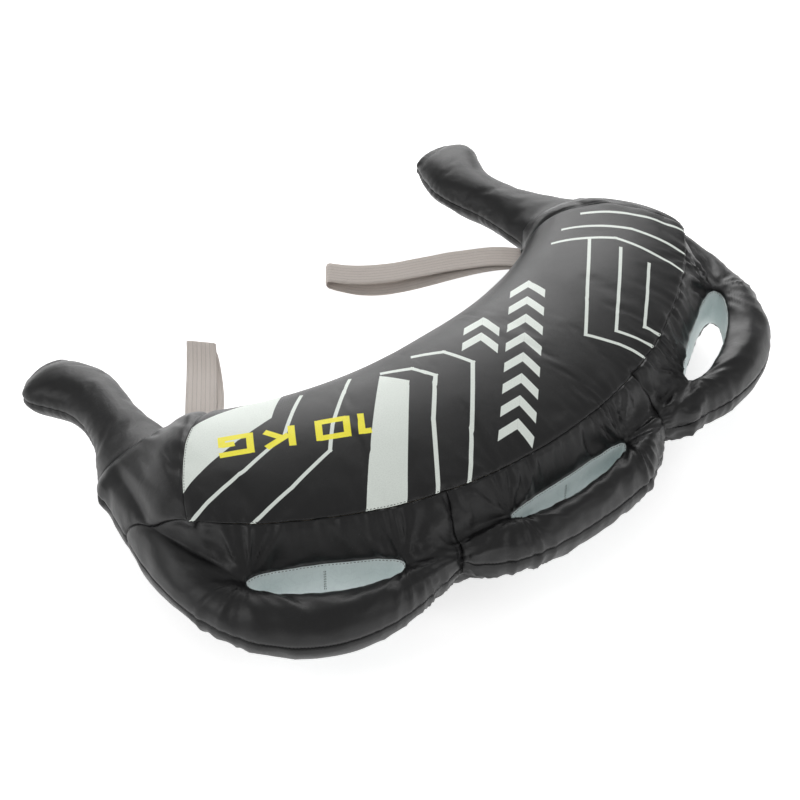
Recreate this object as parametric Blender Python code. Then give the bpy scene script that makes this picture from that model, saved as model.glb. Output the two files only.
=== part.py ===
"""Bulgarian bag: a filled crescent with three cut-through handles, two horn grips and two webbing loops.

Metres, +Z up. The handles look along -Y, the grips point along +Y, and X = 0 is the mirror plane.
The origin is the middle of the bag's outline, on the floor. Upper and lower panels meet in one seam
that runs round the whole bag at half height.
"""

from math import asin, cos, pi, radians, sin

import bmesh
import bpy
from mathutils import Matrix, Vector

# Crescent: the outer edge of the top panel is an arc round the middle of the bay
ARC_RADIUS = 0.3885
END_ANGLE = radians(47.8)
BODY_DEPTH = 0.1840
END_DEPTH = 0.1467
BAY_FLARE_POWER = 1.7

# Heights over the seam plane
RIDGE_HEIGHT = 0.077
END_RIDGE_HEIGHT = 0.070
RIDGE_SETBACK = 0.072
END_RIDGE_SETBACK = 0.070
RIDGE_SQUARENESS = 2.8
END_SEAM_BOW = 0.012
EDGE_HEIGHT = 0.057
SEAM_PLANE_HEIGHT = 0.058

# Handle lobes: how far the side seam stands out beyond the arc
MIDDLE_LOBE_REACH = 0.053
PINCH_REACH = 0.032
SIDE_LOBE_BULGE = 0.080
PINCH_ANGLE_SHARE = 0.341
LOBE_SQUARENESS = 4
RIM_END_ANGLE_SHARE = 1.197
RIM_END_RADIUS_SHARE = 0.934
SIDE_SEAM_MIDDLE_SHARE = 0.5
SIDE_SEAM_HEIGHT_SHARE = 0.53
WALL_BULGE = 0.003
ROLL_CROWN_SHARE = 0.35

# Handle slots
MIDDLE_SLOT_LENGTH = 0.131
MIDDLE_SLOT_WIDTH = 0.018
MIDDLE_SLOT_SETOUT = 0.020
SIDE_SLOT_LENGTH = 0.126
SIDE_SLOT_WIDTH = 0.028
SIDE_SLOT_SETOUT = 0.0295
SIDE_SLOT_PLACE_SHARE = 0.495
SLOT_EDGE_HEIGHT = 0.020

# Bag ends and horn grips
CREASE_SHIFT = 0.0239
END_LENGTH = 0.0259
CREASE_EDGE_SHARE = 0.37
CREASE_WALL_SHARE = 0.28
GRIP_LENGTH = 0.164
GRIP_ROOT_WIDTH = 0.085
GRIP_ROOT_HEIGHT = 0.050
# Along the grip: place, sideways shift of its middle, width, height, each as a share of the sizes above
GRIP_SHARES = (
    (0.052, -0.024, 0.930, 0.925),
    (0.122, -0.065, 0.850, 0.870),
    (0.244, -0.141, 0.694, 0.850),
    (0.366, -0.194, 0.612, 0.840),
    (0.488, -0.241, 0.607, 0.840),
    (0.610, -0.256, 0.654, 0.860),
    (0.732, -0.206, 0.753, 0.880),
    (0.823, -0.141, 0.788, 0.830),
    (0.915, -0.124, 0.682, 0.620),
    (0.965, -0.159, 0.460, 0.370),
)
GRIP_TIP_SHIFT_SHARE = -0.182
LEFT_GRIP_DROOP = radians(4.0)

# Webbing loops, sewn into the seam beside each grip
STRAP_WIDTH = 0.028
STRAP_LENGTH = 0.188
STRAP_SLANT = radians(12.8)
STRAP_FLOOR_CLEARANCE = 0.0006
WEBBING = 0.0015
LOOP_HEIGHT = 0.0090
ROOT_FOLD_RADIUS = 0.0009
UPPER_SETTLE_SHARE = 0.95
LOWER_SETTLE_SHARE = 0.90

# Cloth, filling and the clearances between pieces
CLOTH = 0.0015
GAP = 0.0003
FILLING_GAP = 0.0005
FILLING_TUCK = 0.0005

# Mesh steps
RISE_ROWS = 3
FALL_ROWS = 4
WALL_ROWS = 2
ROLL_ROWS = 4
SLOT_STEPS = 10
END_STEPS = 5
FILLING_END_STEPS = 2
GRIP_ROWS = 8
ROOT_STEPS = 3
STRAP_STEPS = 9
FOLD_STEPS = 4

# Sizes that follow from the ones above
PINCH_ANGLE = PINCH_ANGLE_SHARE * END_ANGLE
RIM_END_ANGLE = RIM_END_ANGLE_SHARE * END_ANGLE
RIM_END_RADIUS = RIM_END_RADIUS_SHARE * ARC_RADIUS
TOP_ROWS = RISE_ROWS + FALL_ROWS
EDGE_ROW = TOP_ROWS
WALL_END_ROW = TOP_ROWS + WALL_ROWS
RIM_ROW = WALL_END_ROW + ROLL_ROWS
MOUTH_CLEARANCE = CLOTH + GAP
MOUTH_HALF_WIDTH = GRIP_ROOT_WIDTH / 2 + MOUTH_CLEARANCE
MOUTH_HALF_HEIGHT = GRIP_ROOT_HEIGHT / 2 + MOUTH_CLEARANCE
FILLING_DEPTH = CLOTH + FILLING_GAP
ROOT_BEAD_RADIUS = ROOT_FOLD_RADIUS + WEBBING / 2

FINISHES = {
    "black_fabric": ((0.020, 0.020, 0.022, 1.0), 0.46),
    "printed_fabric": ((0.026, 0.027, 0.028, 1.0), 0.50),
    "grey_lining": ((0.560, 0.610, 0.610, 1.0), 0.62),
    "taupe_webbing": ((0.430, 0.390, 0.350, 1.0), 0.85),
    "sand_pouch": ((0.480, 0.430, 0.340, 1.0), 0.90),
    "wadding": ((0.800, 0.790, 0.760, 1.0), 0.95),
}


def clear_scene():
    """Remove every object that the scene holds."""
    for item in list(bpy.data.objects):
        bpy.data.objects.remove(item, do_unlink=True)


def make_material(name):
    """A plain finish from the table."""
    colour, roughness = FINISHES[name]
    material = bpy.data.materials.new(name)
    material.use_nodes = True
    shader = material.node_tree.nodes["Principled BSDF"]
    shader.inputs["Base Color"].default_value = colour
    shader.inputs["Roughness"].default_value = roughness
    shader.inputs["Metallic"].default_value = 0.0
    return material


def blend(start, end, share):
    return start + (end - start) * share


def ease(share):
    """Smooth step from 0 to 1, flat at both ends."""
    share = min(max(share, 0.0), 1.0)
    return share * share * (3 - 2 * share)


def on_arc(radius, angle):
    """Point in the seam plane, from the arc's centre; angle 0 points at the middle handle."""
    return Vector((radius * sin(angle), -radius * cos(angle), 0.0))


def mirrored(point, side):
    return Vector((point.x * side, point.y, point.z))


# Plan of the bag's right half, from the arc's centre

def slot_sizes():
    """The middle and side slot: centre angle, half angle, centre radius and half width."""
    middle_radius = ARC_RADIUS + MIDDLE_SLOT_SETOUT
    side_radius = ARC_RADIUS + SIDE_SLOT_SETOUT
    side_angle = blend(PINCH_ANGLE, END_ANGLE, SIDE_SLOT_PLACE_SHARE)
    middle = (0.0, MIDDLE_SLOT_LENGTH / 2 / middle_radius, middle_radius, MIDDLE_SLOT_WIDTH / 2)
    side = (side_angle, SIDE_SLOT_LENGTH / 2 / side_radius, side_radius, SIDE_SLOT_WIDTH / 2)
    return middle, side


MIDDLE_SLOT, SIDE_SLOT = slot_sizes()
SIDE_SLOT_START = SIDE_SLOT[0] - SIDE_SLOT[1]
SIDE_SLOT_END = SIDE_SLOT[0] + SIDE_SLOT[1]


def bay_radius(angle):
    """Distance of the inner seam, round the bay, from the arc's centre."""
    return ARC_RADIUS - blend(BODY_DEPTH, END_DEPTH, (angle / END_ANGLE) ** BAY_FLARE_POWER)


def rim_radius(angle):
    """Distance of the outer seam: one flat lobe in the middle, one full lobe at each side."""
    pinch = ARC_RADIUS + PINCH_REACH
    if angle <= PINCH_ANGLE:
        fullness = 1 - (angle / PINCH_ANGLE) ** LOBE_SQUARENESS
        return pinch + (MIDDLE_LOBE_REACH - PINCH_REACH) * fullness
    share = (angle - PINCH_ANGLE) / (RIM_END_ANGLE - PINCH_ANGLE)
    return blend(pinch, RIM_END_RADIUS, share) + SIDE_LOBE_BULGE * sin(pi * share)


def rim_point(angle):
    """Outer seam point of a rib; ribs fan out towards the bag's end."""
    share = max(0.0, (angle - PINCH_ANGLE) / (END_ANGLE - PINCH_ANGLE))
    fanned = angle + (RIM_END_ANGLE - END_ANGLE) * share * share
    return on_arc(rim_radius(fanned), fanned)


def trough_point(angle):
    """Bottom of the trough between body and handle roll, where the slots are cut."""
    if angle <= SIDE_SLOT_END:
        share = ease((angle - PINCH_ANGLE) / (SIDE_SLOT_START - PINCH_ANGLE))
        return on_arc(blend(MIDDLE_SLOT[2], SIDE_SLOT[2], share), angle)
    last = blend(on_arc(ARC_RADIUS, END_ANGLE), rim_point(END_ANGLE), SIDE_SEAM_MIDDLE_SHARE)
    share = (angle - SIDE_SLOT_END) / (END_ANGLE - SIDE_SLOT_END)
    return blend(on_arc(SIDE_SLOT[2], SIDE_SLOT_END), last, share)


def trough_height(angle):
    share = ease((angle - SIDE_SLOT_END) / (END_ANGLE - SIDE_SLOT_END))
    return blend(SLOT_EDGE_HEIGHT, EDGE_HEIGHT * SIDE_SEAM_HEIGHT_SHARE, share)


def roll_crown(angle):
    """Height of the handle roll over the trough, as a factor of the trough's height."""
    if angle <= PINCH_ANGLE:
        return 1 + ROLL_CROWN_SHARE * (1 - (angle / PINCH_ANGLE) ** LOBE_SQUARENESS)
    share = (angle - PINCH_ANGLE) / (END_ANGLE - PINCH_ANGLE)
    return 1 + ROLL_CROWN_SHARE * sin(pi * share)


def slot_angles(slot, start=0):
    """Angles of the ribs across a slot, closer together at its rounded ends."""
    centre, half_angle, _, _ = slot
    steps = range(start, SLOT_STEPS + 1)
    return [centre - half_angle * cos(pi * step / SLOT_STEPS) for step in steps]


def rib_angles():
    """All ribs of the right half, from the middle to the bag's end, and whether each crosses a slot."""
    middle = slot_angles(MIDDLE_SLOT, SLOT_STEPS // 2)
    middle[0] = 0.0
    side = slot_angles(SIDE_SLOT)
    ribs = [(angle, MIDDLE_SLOT) for angle in middle[:-1]] + [(middle[-1], None)]
    ribs += [(blend(middle[-1], PINCH_ANGLE, step / 3), None) for step in (1, 2, 3)]
    ribs += [(blend(PINCH_ANGLE, side[0], step / 2), None) for step in (1, 2)]
    ribs += [(angle, SIDE_SLOT) for angle in side[1:-1]] + [(side[-1], None)]
    ribs += [(blend(side[-1], END_ANGLE, step / 3), None) for step in (1, 2, 3)]
    return ribs


def slot_edges(slot, angle):
    """Inner and outer edge of a slot on one rib."""
    centre, half_angle, radius, half_width = slot
    along = (angle - centre) / half_angle
    half = half_width * max(0.0, 1 - along * along) ** 0.5
    return on_arc(radius - half, angle), on_arc(radius + half, angle)


# Cross sections: each is the upper sheet's points from the bay seam to the outer seam

def raised(point, height):
    return Vector((point.x, point.y, height))


def top_points(angle):
    """From the bay seam, up over the ridge, to the top panel's outer edge."""
    share = angle / END_ANGLE
    start, end = on_arc(bay_radius(angle), angle), on_arc(ARC_RADIUS, angle)
    depth = (end - start).length
    ridge = blend(RIDGE_HEIGHT, END_RIDGE_HEIGHT, share * share)
    setback = blend(RIDGE_SETBACK, END_RIDGE_SETBACK, share)
    bow = Vector((cos(angle), sin(angle), 0.0)) * (END_SEAM_BOW * share * share)
    points = []
    for row in range(RISE_ROWS):
        turn = pi / 2 * row / RISE_ROWS
        place = setback * (1 - cos(turn) ** (2 / RIDGE_SQUARENESS)) / depth
        height = ridge * sin(turn) ** (2 / RIDGE_SQUARENESS)
        points.append(raised(blend(start, end, place) + bow * sin(pi * place), height))
    for row in range(FALL_ROWS + 1):
        fall = row / FALL_ROWS
        place = blend(setback / depth, 1.0, fall)
        height = blend(ridge, EDGE_HEIGHT, fall * fall)
        points.append(raised(blend(start, end, place) + bow * sin(pi * place), height))
    return points


def wall_points(angle, foot):
    """From the top panel's edge down to the trough or the slot's inner edge."""
    start = on_arc(ARC_RADIUS, angle)
    points = []
    for row in range(1, WALL_ROWS + 1):
        share = row / WALL_ROWS
        height = blend(EDGE_HEIGHT, trough_height(angle), share) + WALL_BULGE * sin(pi * share)
        points.append(raised(blend(start, foot, share), height))
    return points


def roll_points(angle, foot):
    """Over the handle roll, from the trough or the slot's outer edge to the outer seam."""
    rim = rim_point(angle)
    crown = roll_crown(angle)
    first = pi - asin(1 / crown)
    points = []
    for row in range(ROLL_ROWS + 1):
        turn = first * (1 - row / ROLL_ROWS)
        place = (cos(turn) - cos(first)) / (1 - cos(first))
        points.append(raised(blend(foot, rim, place), trough_height(angle) * crown * sin(turn)))
    return points


def mouth_points():
    """The bag's open end, where the grip is sewn in: half an ellipse over the crease."""
    crease = crease_centre()
    turns = [blend(pi, pi * CREASE_EDGE_SHARE, row / TOP_ROWS) for row in range(TOP_ROWS + 1)]
    wall = (pi * CREASE_EDGE_SHARE, pi * CREASE_WALL_SHARE)
    turns += [blend(*wall, row / WALL_ROWS) for row in range(1, WALL_ROWS + 1)]
    turns += [pi * CREASE_WALL_SHARE * (1 - row / ROLL_ROWS) for row in range(1, ROLL_ROWS + 1)]
    return [crease + Vector((MOUTH_HALF_WIDTH * cos(turn), 0.0, MOUTH_HALF_HEIGHT * sin(turn)))
            for turn in turns]


def crease_centre():
    """Middle of the crease between the bag's end and its grip; the grip bends about it."""
    corner = on_arc(bay_radius(END_ANGLE), END_ANGLE)
    return corner + Vector((CREASE_SHIFT + GRIP_ROOT_WIDTH / 2, END_LENGTH, 0.0))


def half_sheet():
    """Points of the upper sheet's right half: rib number and row, with a slot's outer edge apart."""
    points = {}
    ribs = rib_angles()
    for rib, (angle, slot) in enumerate(ribs):
        inner, outer = slot_edges(slot, angle) if slot else (trough_point(angle),) * 2
        roll = roll_points(angle, outer)
        column = top_points(angle) + wall_points(angle, inner) + roll[1:]
        for row, point in enumerate(column):
            points[rib, row] = point
        if slot:
            points[rib, "outer"] = roll[0]
    last = len(ribs) - 1
    for row, mouth in enumerate(mouth_points()):
        start = points[last, row]
        for step in range(1, END_STEPS + 1):
            share = step / END_STEPS
            height = blend(start.z, mouth.z, 1 - cos(pi / 2 * share))
            points[last + step, row] = raised(blend(start, mouth, share), height)
    return points, last


HALF_POINTS, END_RIB = half_sheet()
LAST_RIB = END_RIB + END_STEPS
ORIGIN_SHIFT = Vector((
    0.0,
    (ARC_RADIUS + MIDDLE_LOBE_REACH - crease_centre().y - GRIP_LENGTH) / 2,
    SEAM_PLANE_HEIGHT,
))


def pinch_rib():
    """Number of the rib at the notch between the middle and the side lobe."""
    angles = [angle for angle, _ in rib_angles()]
    return min(range(len(angles)), key=lambda rib: abs(angles[rib] - PINCH_ANGLE))


def slot_ends():
    """Points of the sheet where a slot's two edges meet."""
    ribs = rib_angles()
    ends = [rib for rib in range(1, len(ribs)) if bool(ribs[rib][1]) != bool(ribs[rib - 1][1])]
    starts = [rib if not ribs[rib][1] else rib - 1 for rib in ends]
    return {(side * rib, WALL_END_ROW) for rib in starts for side in (1, -1)}


PINCH_RIB = pinch_rib()
SLOT_ENDS = slot_ends()


def sheet_points(level):
    """Points of the whole upper (+1) or lower (-1) sheet; the lower one lies flat on the floor."""
    points = {}
    for (rib, row), point in HALF_POINTS.items():
        height = point.z if level > 0 else -min(point.z, SEAM_PLANE_HEIGHT)
        for side in (1, -1):
            points[side * rib, row] = Vector((side * point.x, point.y, height))
    return points


def sheet_faces(first, last, start_row, end_row):
    """Triangles between two ribs and two rows, facing up, alike on both sides of the middle."""
    faces = []
    for rib in range(first, last):
        for row in range(start_row, end_row):
            near = [(rib, row), (rib + 1, row)]
            if row == WALL_END_ROW:
                near = [(end, "outer") if (abs(end), "outer") in HALF_POINTS else (end, row)
                        for end, row in near]
            low = (rib, row + 1), (rib + 1, row + 1)
            if rib < 0:
                faces += [(near[0], low[0], low[1]), (near[0], low[1], near[1])]
            else:
                faces += [(near[0], low[0], near[1]), (low[0], low[1], near[1])]
    return faces


# Solids between two matching skins

def flip_faces(faces):
    return [tuple(reversed(face)) for face in faces]


def skin_normals(points, faces, seam_rows):
    """Area-weighted normal of each point, level on the outer seam and upright at a slot's ends."""
    normals = {}
    for face in faces:
        corners = [points[key] for key in face]
        area = (corners[2] - corners[0]).cross(corners[-1] - corners[1])
        for key in face:
            normals[key] = normals.get(key, Vector()) + area
    for key, normal in normals.items():
        if key[1] in seam_rows:
            normal.z = 0.0
        if key in SLOT_ENDS:
            normal.x = normal.y = 0.0
        normal.normalize()
    return normals


def boundary_edges(faces):
    """Directed edges that belong to one face only."""
    edges = [(face[i - 1], face[i]) for face in faces for i in range(len(face)) if face[i - 1] != face[i]]
    known = set(edges)
    return [edge for edge in edges if (edge[1], edge[0]) not in known]


def drawn_in(points, normals, faces, depth, inset):
    """The skin moved in by depth, with its border drawn back along the skin by inset."""
    moved = {key: points[key] - normals[key] * depth for face in faces for key in face}
    inward = {}
    for start, end in boundary_edges(faces):
        along = points[end] - points[start]
        across = (normals[start] + normals[end]).cross(along).normalized()
        inward.setdefault(start, []).append(across)
        inward.setdefault(end, []).append(across)
    for key, directions in inward.items():
        total = sum(directions, Vector())
        spread = max(0.5, 1 + directions[0].dot(directions[-1]))
        moved[key] += total * (inset / spread if len(directions) > 1 else inset)
    return moved


def solid_between(name, faces, outer, inner, material, pivot=None):
    """One closed body between an outer and an inner skin with the same faces."""
    pivot = pivot or Vector()
    keys = sorted(outer, key=str)
    number = {key: index for index, key in enumerate(keys)}
    vertices = [outer[key] for key in keys] + [inner[key] for key in keys]
    polygons = [[number[key] for key in dict.fromkeys(face)] for face in faces]
    polygons += [[number[key] + len(keys) for key in reversed(dict.fromkeys(face))] for face in faces]
    for start, end in boundary_edges(faces):
        low, high = number[start], number[end]
        deep_low, deep_high = low + len(keys), high + len(keys)
        if low < high:
            polygons += [[high, low, deep_high], [low, deep_low, deep_high]]
        else:
            polygons += [[high, low, deep_low], [high, deep_low, deep_high]]
    return make_object(name, vertices, polygons, material, pivot)


def make_object(name, vertices, polygons, material, pivot):
    """A mesh object whose origin is the pivot, with its faces turned out."""
    mesh = bpy.data.meshes.new(name)
    mesh.from_pydata([vertex - pivot for vertex in vertices], [], polygons)
    work = bmesh.new()
    work.from_mesh(mesh)
    bmesh.ops.recalc_face_normals(work, faces=work.faces)
    work.to_mesh(mesh)
    work.free()
    mesh.shade_smooth()
    mesh.set_sharp_from_angle(angle=radians(40))
    mesh.materials.append(material)
    item = bpy.data.objects.new(name, mesh)
    item.location = pivot + ORIGIN_SHIFT
    bpy.context.collection.objects.link(item)
    return item


# Bag panels, lining and filling

def add_panel(name, level, faces, all_faces, material):
    """One cut panel of the upper or lower sheet, sewn to its neighbours along its border."""
    points = sheet_points(level)
    if level < 0:
        faces, all_faces = flip_faces(faces), flip_faces(all_faces)
    normals = skin_normals(points, all_faces, (0, RIM_ROW))
    outer = drawn_in(points, normals, faces, 0.0, GAP / 2)
    inner = drawn_in(points, normals, faces, CLOTH, GAP / 2)
    return solid_between(name, faces, outer, inner, material)


def add_filling(name, faces, all_faces, material):
    """A filling that fits between the upper and the lower sheet."""
    skins = []
    for level in (1, -1):
        points = sheet_points(level)
        turned = flip_faces if level < 0 else list
        normals = skin_normals(points, turned(all_faces), (0, RIM_ROW))
        skins.append(drawn_in(points, normals, turned(faces), FILLING_DEPTH, FILLING_TUCK))
    return solid_between(name, faces, skins[0], skins[1], material)


def add_body(materials):
    """All panels of both sheets, and the pouches and rolls that fill them."""
    all_faces = sheet_faces(-LAST_RIB, LAST_RIB, 0, RIM_ROW)
    sides = {
        "left": (-END_RIB, -PINCH_RIB),
        "middle": (-PINCH_RIB, PINCH_RIB),
        "right": (PINCH_RIB, END_RIB),
    }
    ends = {"left": (-LAST_RIB, -END_RIB), "right": (END_RIB, LAST_RIB)}
    plain = materials["black_fabric"]
    for level, word in ((1, "upper"), (-1, "lower")):
        name = "printed_top_panel" if level > 0 else "bottom_panel"
        finish = materials["printed_fabric"] if level > 0 else plain
        add_panel(name, level, sheet_faces(-END_RIB, END_RIB, 0, EDGE_ROW), all_faces, finish)
        for side, (first, last) in sides.items():
            faces = sheet_faces(first, last, EDGE_ROW, RIM_ROW)
            add_panel(f"{side}_handle_panel_{word}", level, faces, all_faces, plain)
        for side, (first, last) in ends.items():
            faces = sheet_faces(first, last, 0, RIM_ROW)
            add_panel(f"{side}_end_panel_{word}", level, faces, all_faces, plain)
    far = END_RIB + FILLING_END_STEPS
    pouches = {
        "left": (-far, -PINCH_RIB),
        "middle": (-PINCH_RIB, PINCH_RIB),
        "right": (PINCH_RIB, far),
    }
    for side, (first, last) in pouches.items():
        faces = sheet_faces(first, last, 0, WALL_END_ROW)
        add_filling(f"{side}_sand_pouch", faces, all_faces, materials["sand_pouch"])
    for side, (first, last) in sides.items():
        first, last = max(first + 1, -END_RIB), min(last - 1, END_RIB)
        faces = sheet_faces(first, last, WALL_END_ROW, RIM_ROW)
        add_filling(f"{side}_handle_roll", faces, all_faces, materials["wadding"])


def slot_ring(slot, side, inset):
    """Plan points round a slot, drawn in by inset."""
    centre, half_angle, radius, half_width = slot
    half_angle = half_angle - inset / radius
    half_width = half_width - inset
    ring = []
    for step in range(2 * SLOT_STEPS):
        turn = pi * step / SLOT_STEPS
        point = on_arc(radius + half_width * sin(turn), centre - half_angle * cos(turn))
        ring.append(mirrored(point, side))
    return ring


def add_lining(name, slot, side, material):
    """The cloth tube that lines a handle slot from its upper to its lower edge."""
    outer, inner = slot_ring(slot, side, GAP), slot_ring(slot, side, GAP + CLOTH)
    count = len(outer)
    loops = [(ring, level) for ring, level in ((outer, 1), (outer, -1), (inner, -1), (inner, 1))]
    vertices = [raised(point, level * SLOT_EDGE_HEIGHT) for ring, level in loops for point in ring]
    polygons = []
    for loop in range(4):
        here, there = loop * count, (loop + 1) % 4 * count
        for step in range(count):
            after = (step + 1) % count
            polygons.append([here + step, here + after, there + after, there + step])
    return make_object(name, vertices, polygons, material, Vector())


# Horn grips

def grip_points(level, side):
    """Sheet of a grip's upper or lower half: rings from its rounded root to its tip."""
    crease = crease_centre()
    half_width, half_height = GRIP_ROOT_WIDTH / 2, GRIP_ROOT_HEIGHT / 2
    rings = []
    for step in range(1, ROOT_STEPS + 1):
        turn = pi / 2 * (1 - step / ROOT_STEPS)
        rings.append((-half_height * sin(turn), 0.0, cos(turn), cos(turn)))
    for place, shift, width, height in GRIP_SHARES:
        rings.append((place * GRIP_LENGTH, shift * GRIP_ROOT_WIDTH, width, height))
    points = {}
    for number, (along, shift, width, height) in enumerate(rings, start=1):
        centre = crease + Vector((shift, along, 0.0))
        for row in range(GRIP_ROWS + 1):
            turn = pi * (1 - row / GRIP_ROWS)
            offset = Vector((half_width * width * cos(turn), 0.0, level * half_height * height * sin(turn)))
            points[number, row] = mirrored(centre + offset, side)
    points["root", 0] = mirrored(crease - Vector((0.0, half_height, 0.0)), side)
    tip = crease + Vector((GRIP_TIP_SHIFT_SHARE * GRIP_ROOT_WIDTH, GRIP_LENGTH, 0.0))
    points["tip", 0] = mirrored(tip, side)
    return points, len(rings)


def drooped(skin, pivot, side):
    """The left grip lies a little lower than the right one: turned down about its crease."""
    if side > 0:
        return skin
    turn = Matrix.Rotation(-LEFT_GRIP_DROOP, 3, "X")
    return {key: pivot + turn @ (point - pivot) for key, point in skin.items()}


def grip_faces(first, rings, closed_root):
    """Triangles between rings, with fans at the root and the tip."""
    faces = []
    for row in range(GRIP_ROWS):
        if closed_root:
            faces.append((("root", 0), (1, row), (1, row + 1)))
        for ring in range(first, rings):
            faces.append(((ring, row), (ring + 1, row), (ring + 1, row + 1)))
            faces.append(((ring, row), (ring + 1, row + 1), (ring, row + 1)))
        faces.append(((rings, row), ("tip", 0), (rings, row + 1)))
    return faces


def add_grip(name, side, materials):
    """A grip that bends at its crease: an upper and a lower cover over one wadding core."""
    pivot = mirrored(crease_centre(), side)
    skins = []
    for level, word in ((1, "upper"), (-1, "lower")):
        points, rings = grip_points(level, side)
        whole = grip_faces(1, rings, True)
        cover = grip_faces(ROOT_STEPS, rings, False)
        if level * side > 0:
            whole, cover = flip_faces(whole), flip_faces(cover)
        normals = skin_normals(points, whole, (0, GRIP_ROWS))
        outer = drooped(drawn_in(points, normals, cover, 0.0, GAP / 2), pivot, side)
        inner = drooped(drawn_in(points, normals, cover, CLOTH, GAP / 2), pivot, side)
        label = f"{name}_grip_cover_{word}"
        solid_between(label, cover, outer, inner, materials["black_fabric"], pivot)
        core = drawn_in(points, normals, whole, FILLING_DEPTH, FILLING_TUCK)
        skins.append(drooped(core, pivot, side))
    whole = grip_faces(1, rings, True)
    solid_between(f"{name}_grip_core", whole, skins[0], skins[1], materials["wadding"], pivot)


# Webbing loops

def strap_profile():
    """Middle line of the loop, as distance from its hinge and height over the seam plane."""
    tip_radius = LOOP_HEIGHT / 2
    lowest = STRAP_FLOOR_CLEARANCE + WEBBING / 2 - SEAM_PLANE_HEIGHT
    reach = STRAP_LENGTH - tip_radius
    profile = []
    for step in range(FOLD_STEPS):
        turn = pi * (1.5 - step / FOLD_STEPS)
        profile.append((ROOT_FOLD_RADIUS * cos(turn), ROOT_FOLD_RADIUS * sin(turn)))
    for step in range(STRAP_STEPS):
        share = step / STRAP_STEPS
        upper = blend(ROOT_FOLD_RADIUS, lowest + LOOP_HEIGHT, ease(share / UPPER_SETTLE_SHARE))
        profile.append((reach * share, upper))
    for step in range(FOLD_STEPS):
        turn = pi * (0.5 - step / FOLD_STEPS)
        profile.append((reach + tip_radius * cos(turn), lowest + tip_radius + tip_radius * sin(turn)))
    for step in range(STRAP_STEPS):
        share = 1 - step / STRAP_STEPS
        lower = blend(-ROOT_FOLD_RADIUS, lowest, ease(share / LOWER_SETTLE_SHARE))
        profile.append((reach * share, lower))
    return [Vector((along, 0.0, height)) for along, height in profile]


def strap_frame(side):
    """Hinge point, running direction and cross direction of a webbing loop."""
    corner = on_arc(bay_radius(END_ANGLE), END_ANGLE)
    mouth = crease_centre() - Vector((MOUTH_HALF_WIDTH, 0.0, 0.0))
    across = (mouth - corner).normalized()
    outward = Vector((-across.y, across.x, 0.0))
    hinge = blend(corner, mouth, 0.5) + outward * (GAP + ROOT_BEAD_RADIUS)
    running = outward * cos(STRAP_SLANT) + across * sin(STRAP_SLANT)
    return mirrored(hinge, side), mirrored(running, side), mirrored(across, side)


def add_strap(name, side, material):
    """A band of webbing folded into a flat loop, both ends caught in the seam."""
    hinge, running, across = strap_frame(side)
    profile = strap_profile()
    count = len(profile)
    vertices = []
    for index, point in enumerate(profile):
        along = (profile[(index + 1) % count] - profile[index - 1]).normalized()
        face = Vector((-along.z, 0.0, along.x)) * (WEBBING / 2)
        for edge, skin in ((-1, -1), (1, -1), (1, 1), (-1, 1)):
            place = point + face * skin
            width = across * (edge * STRAP_WIDTH / 2)
            vertices.append(hinge + running * place.x + width + Vector((0.0, 0.0, place.z)))
    polygons = []
    for index in range(count):
        here, there = 4 * index, 4 * ((index + 1) % count)
        for corner in range(4):
            after = (corner + 1) % 4
            polygons.append([here + corner, here + after, there + after, there + corner])
    return make_object(name, vertices, polygons, material, hinge)


def main():
    clear_scene()
    materials = {name: make_material(name) for name in FINISHES}
    add_body(materials)
    lining = materials["grey_lining"]
    add_lining("middle_slot_lining", MIDDLE_SLOT, 1, lining)
    for name, side in (("left", -1), ("right", 1)):
        add_lining(f"{name}_slot_lining", SIDE_SLOT, side, lining)
        add_grip(name, side, materials)
        add_strap(f"{name}_strap_loop", side, materials["taupe_webbing"])


main()
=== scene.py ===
"""Looks of the bulgarian bag: coated cloth, print, linings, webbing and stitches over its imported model.

Metres. The handles look along -Y, the grips point along +Y and the floor is at Z = 0. The bag is one
skin of sewn panels: it is drawn as a fine grid, filled and creased by a cloth run, puckered along its
seams and then cut apart into its panels.
"""

import logging
from collections import defaultdict
from dataclasses import dataclass, field
from enum import Enum
from functools import cached_property
from math import cos, pi, radians, sin
from typing import Dict, List, Optional, Sequence, Tuple, Union

import bpy
import numpy as np
from bpy.types import Camera, Light, Material, Mesh, Node, NodeSocket, NodeTree, Object
from mathutils import Matrix, Vector
from mathutils.bvhtree import BVHTree


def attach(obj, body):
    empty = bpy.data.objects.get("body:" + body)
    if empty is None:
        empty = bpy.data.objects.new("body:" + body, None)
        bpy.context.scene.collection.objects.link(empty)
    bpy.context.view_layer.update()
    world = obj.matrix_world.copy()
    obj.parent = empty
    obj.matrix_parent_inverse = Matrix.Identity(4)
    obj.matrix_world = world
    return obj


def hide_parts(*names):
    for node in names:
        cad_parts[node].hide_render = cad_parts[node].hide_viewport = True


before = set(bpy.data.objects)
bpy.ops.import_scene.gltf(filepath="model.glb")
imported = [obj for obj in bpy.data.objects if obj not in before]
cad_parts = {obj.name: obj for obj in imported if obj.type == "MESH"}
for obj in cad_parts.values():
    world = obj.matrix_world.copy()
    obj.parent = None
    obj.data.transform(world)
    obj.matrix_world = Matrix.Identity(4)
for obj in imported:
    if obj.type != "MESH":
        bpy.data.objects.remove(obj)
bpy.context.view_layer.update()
LOG = logging.getLogger("bag")
Array = np.ndarray
Value = Union[float, Array]
Pair = Tuple[float, float]
Colour = Tuple[float, float, float, float]


class Side(Enum):
    """Which half of the bag, as the sign of X."""

    LEFT = -1
    RIGHT = 1

    @property
    def word(self) -> str:
        """The side's name in a piece's name."""
        return self.name.lower()


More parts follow.
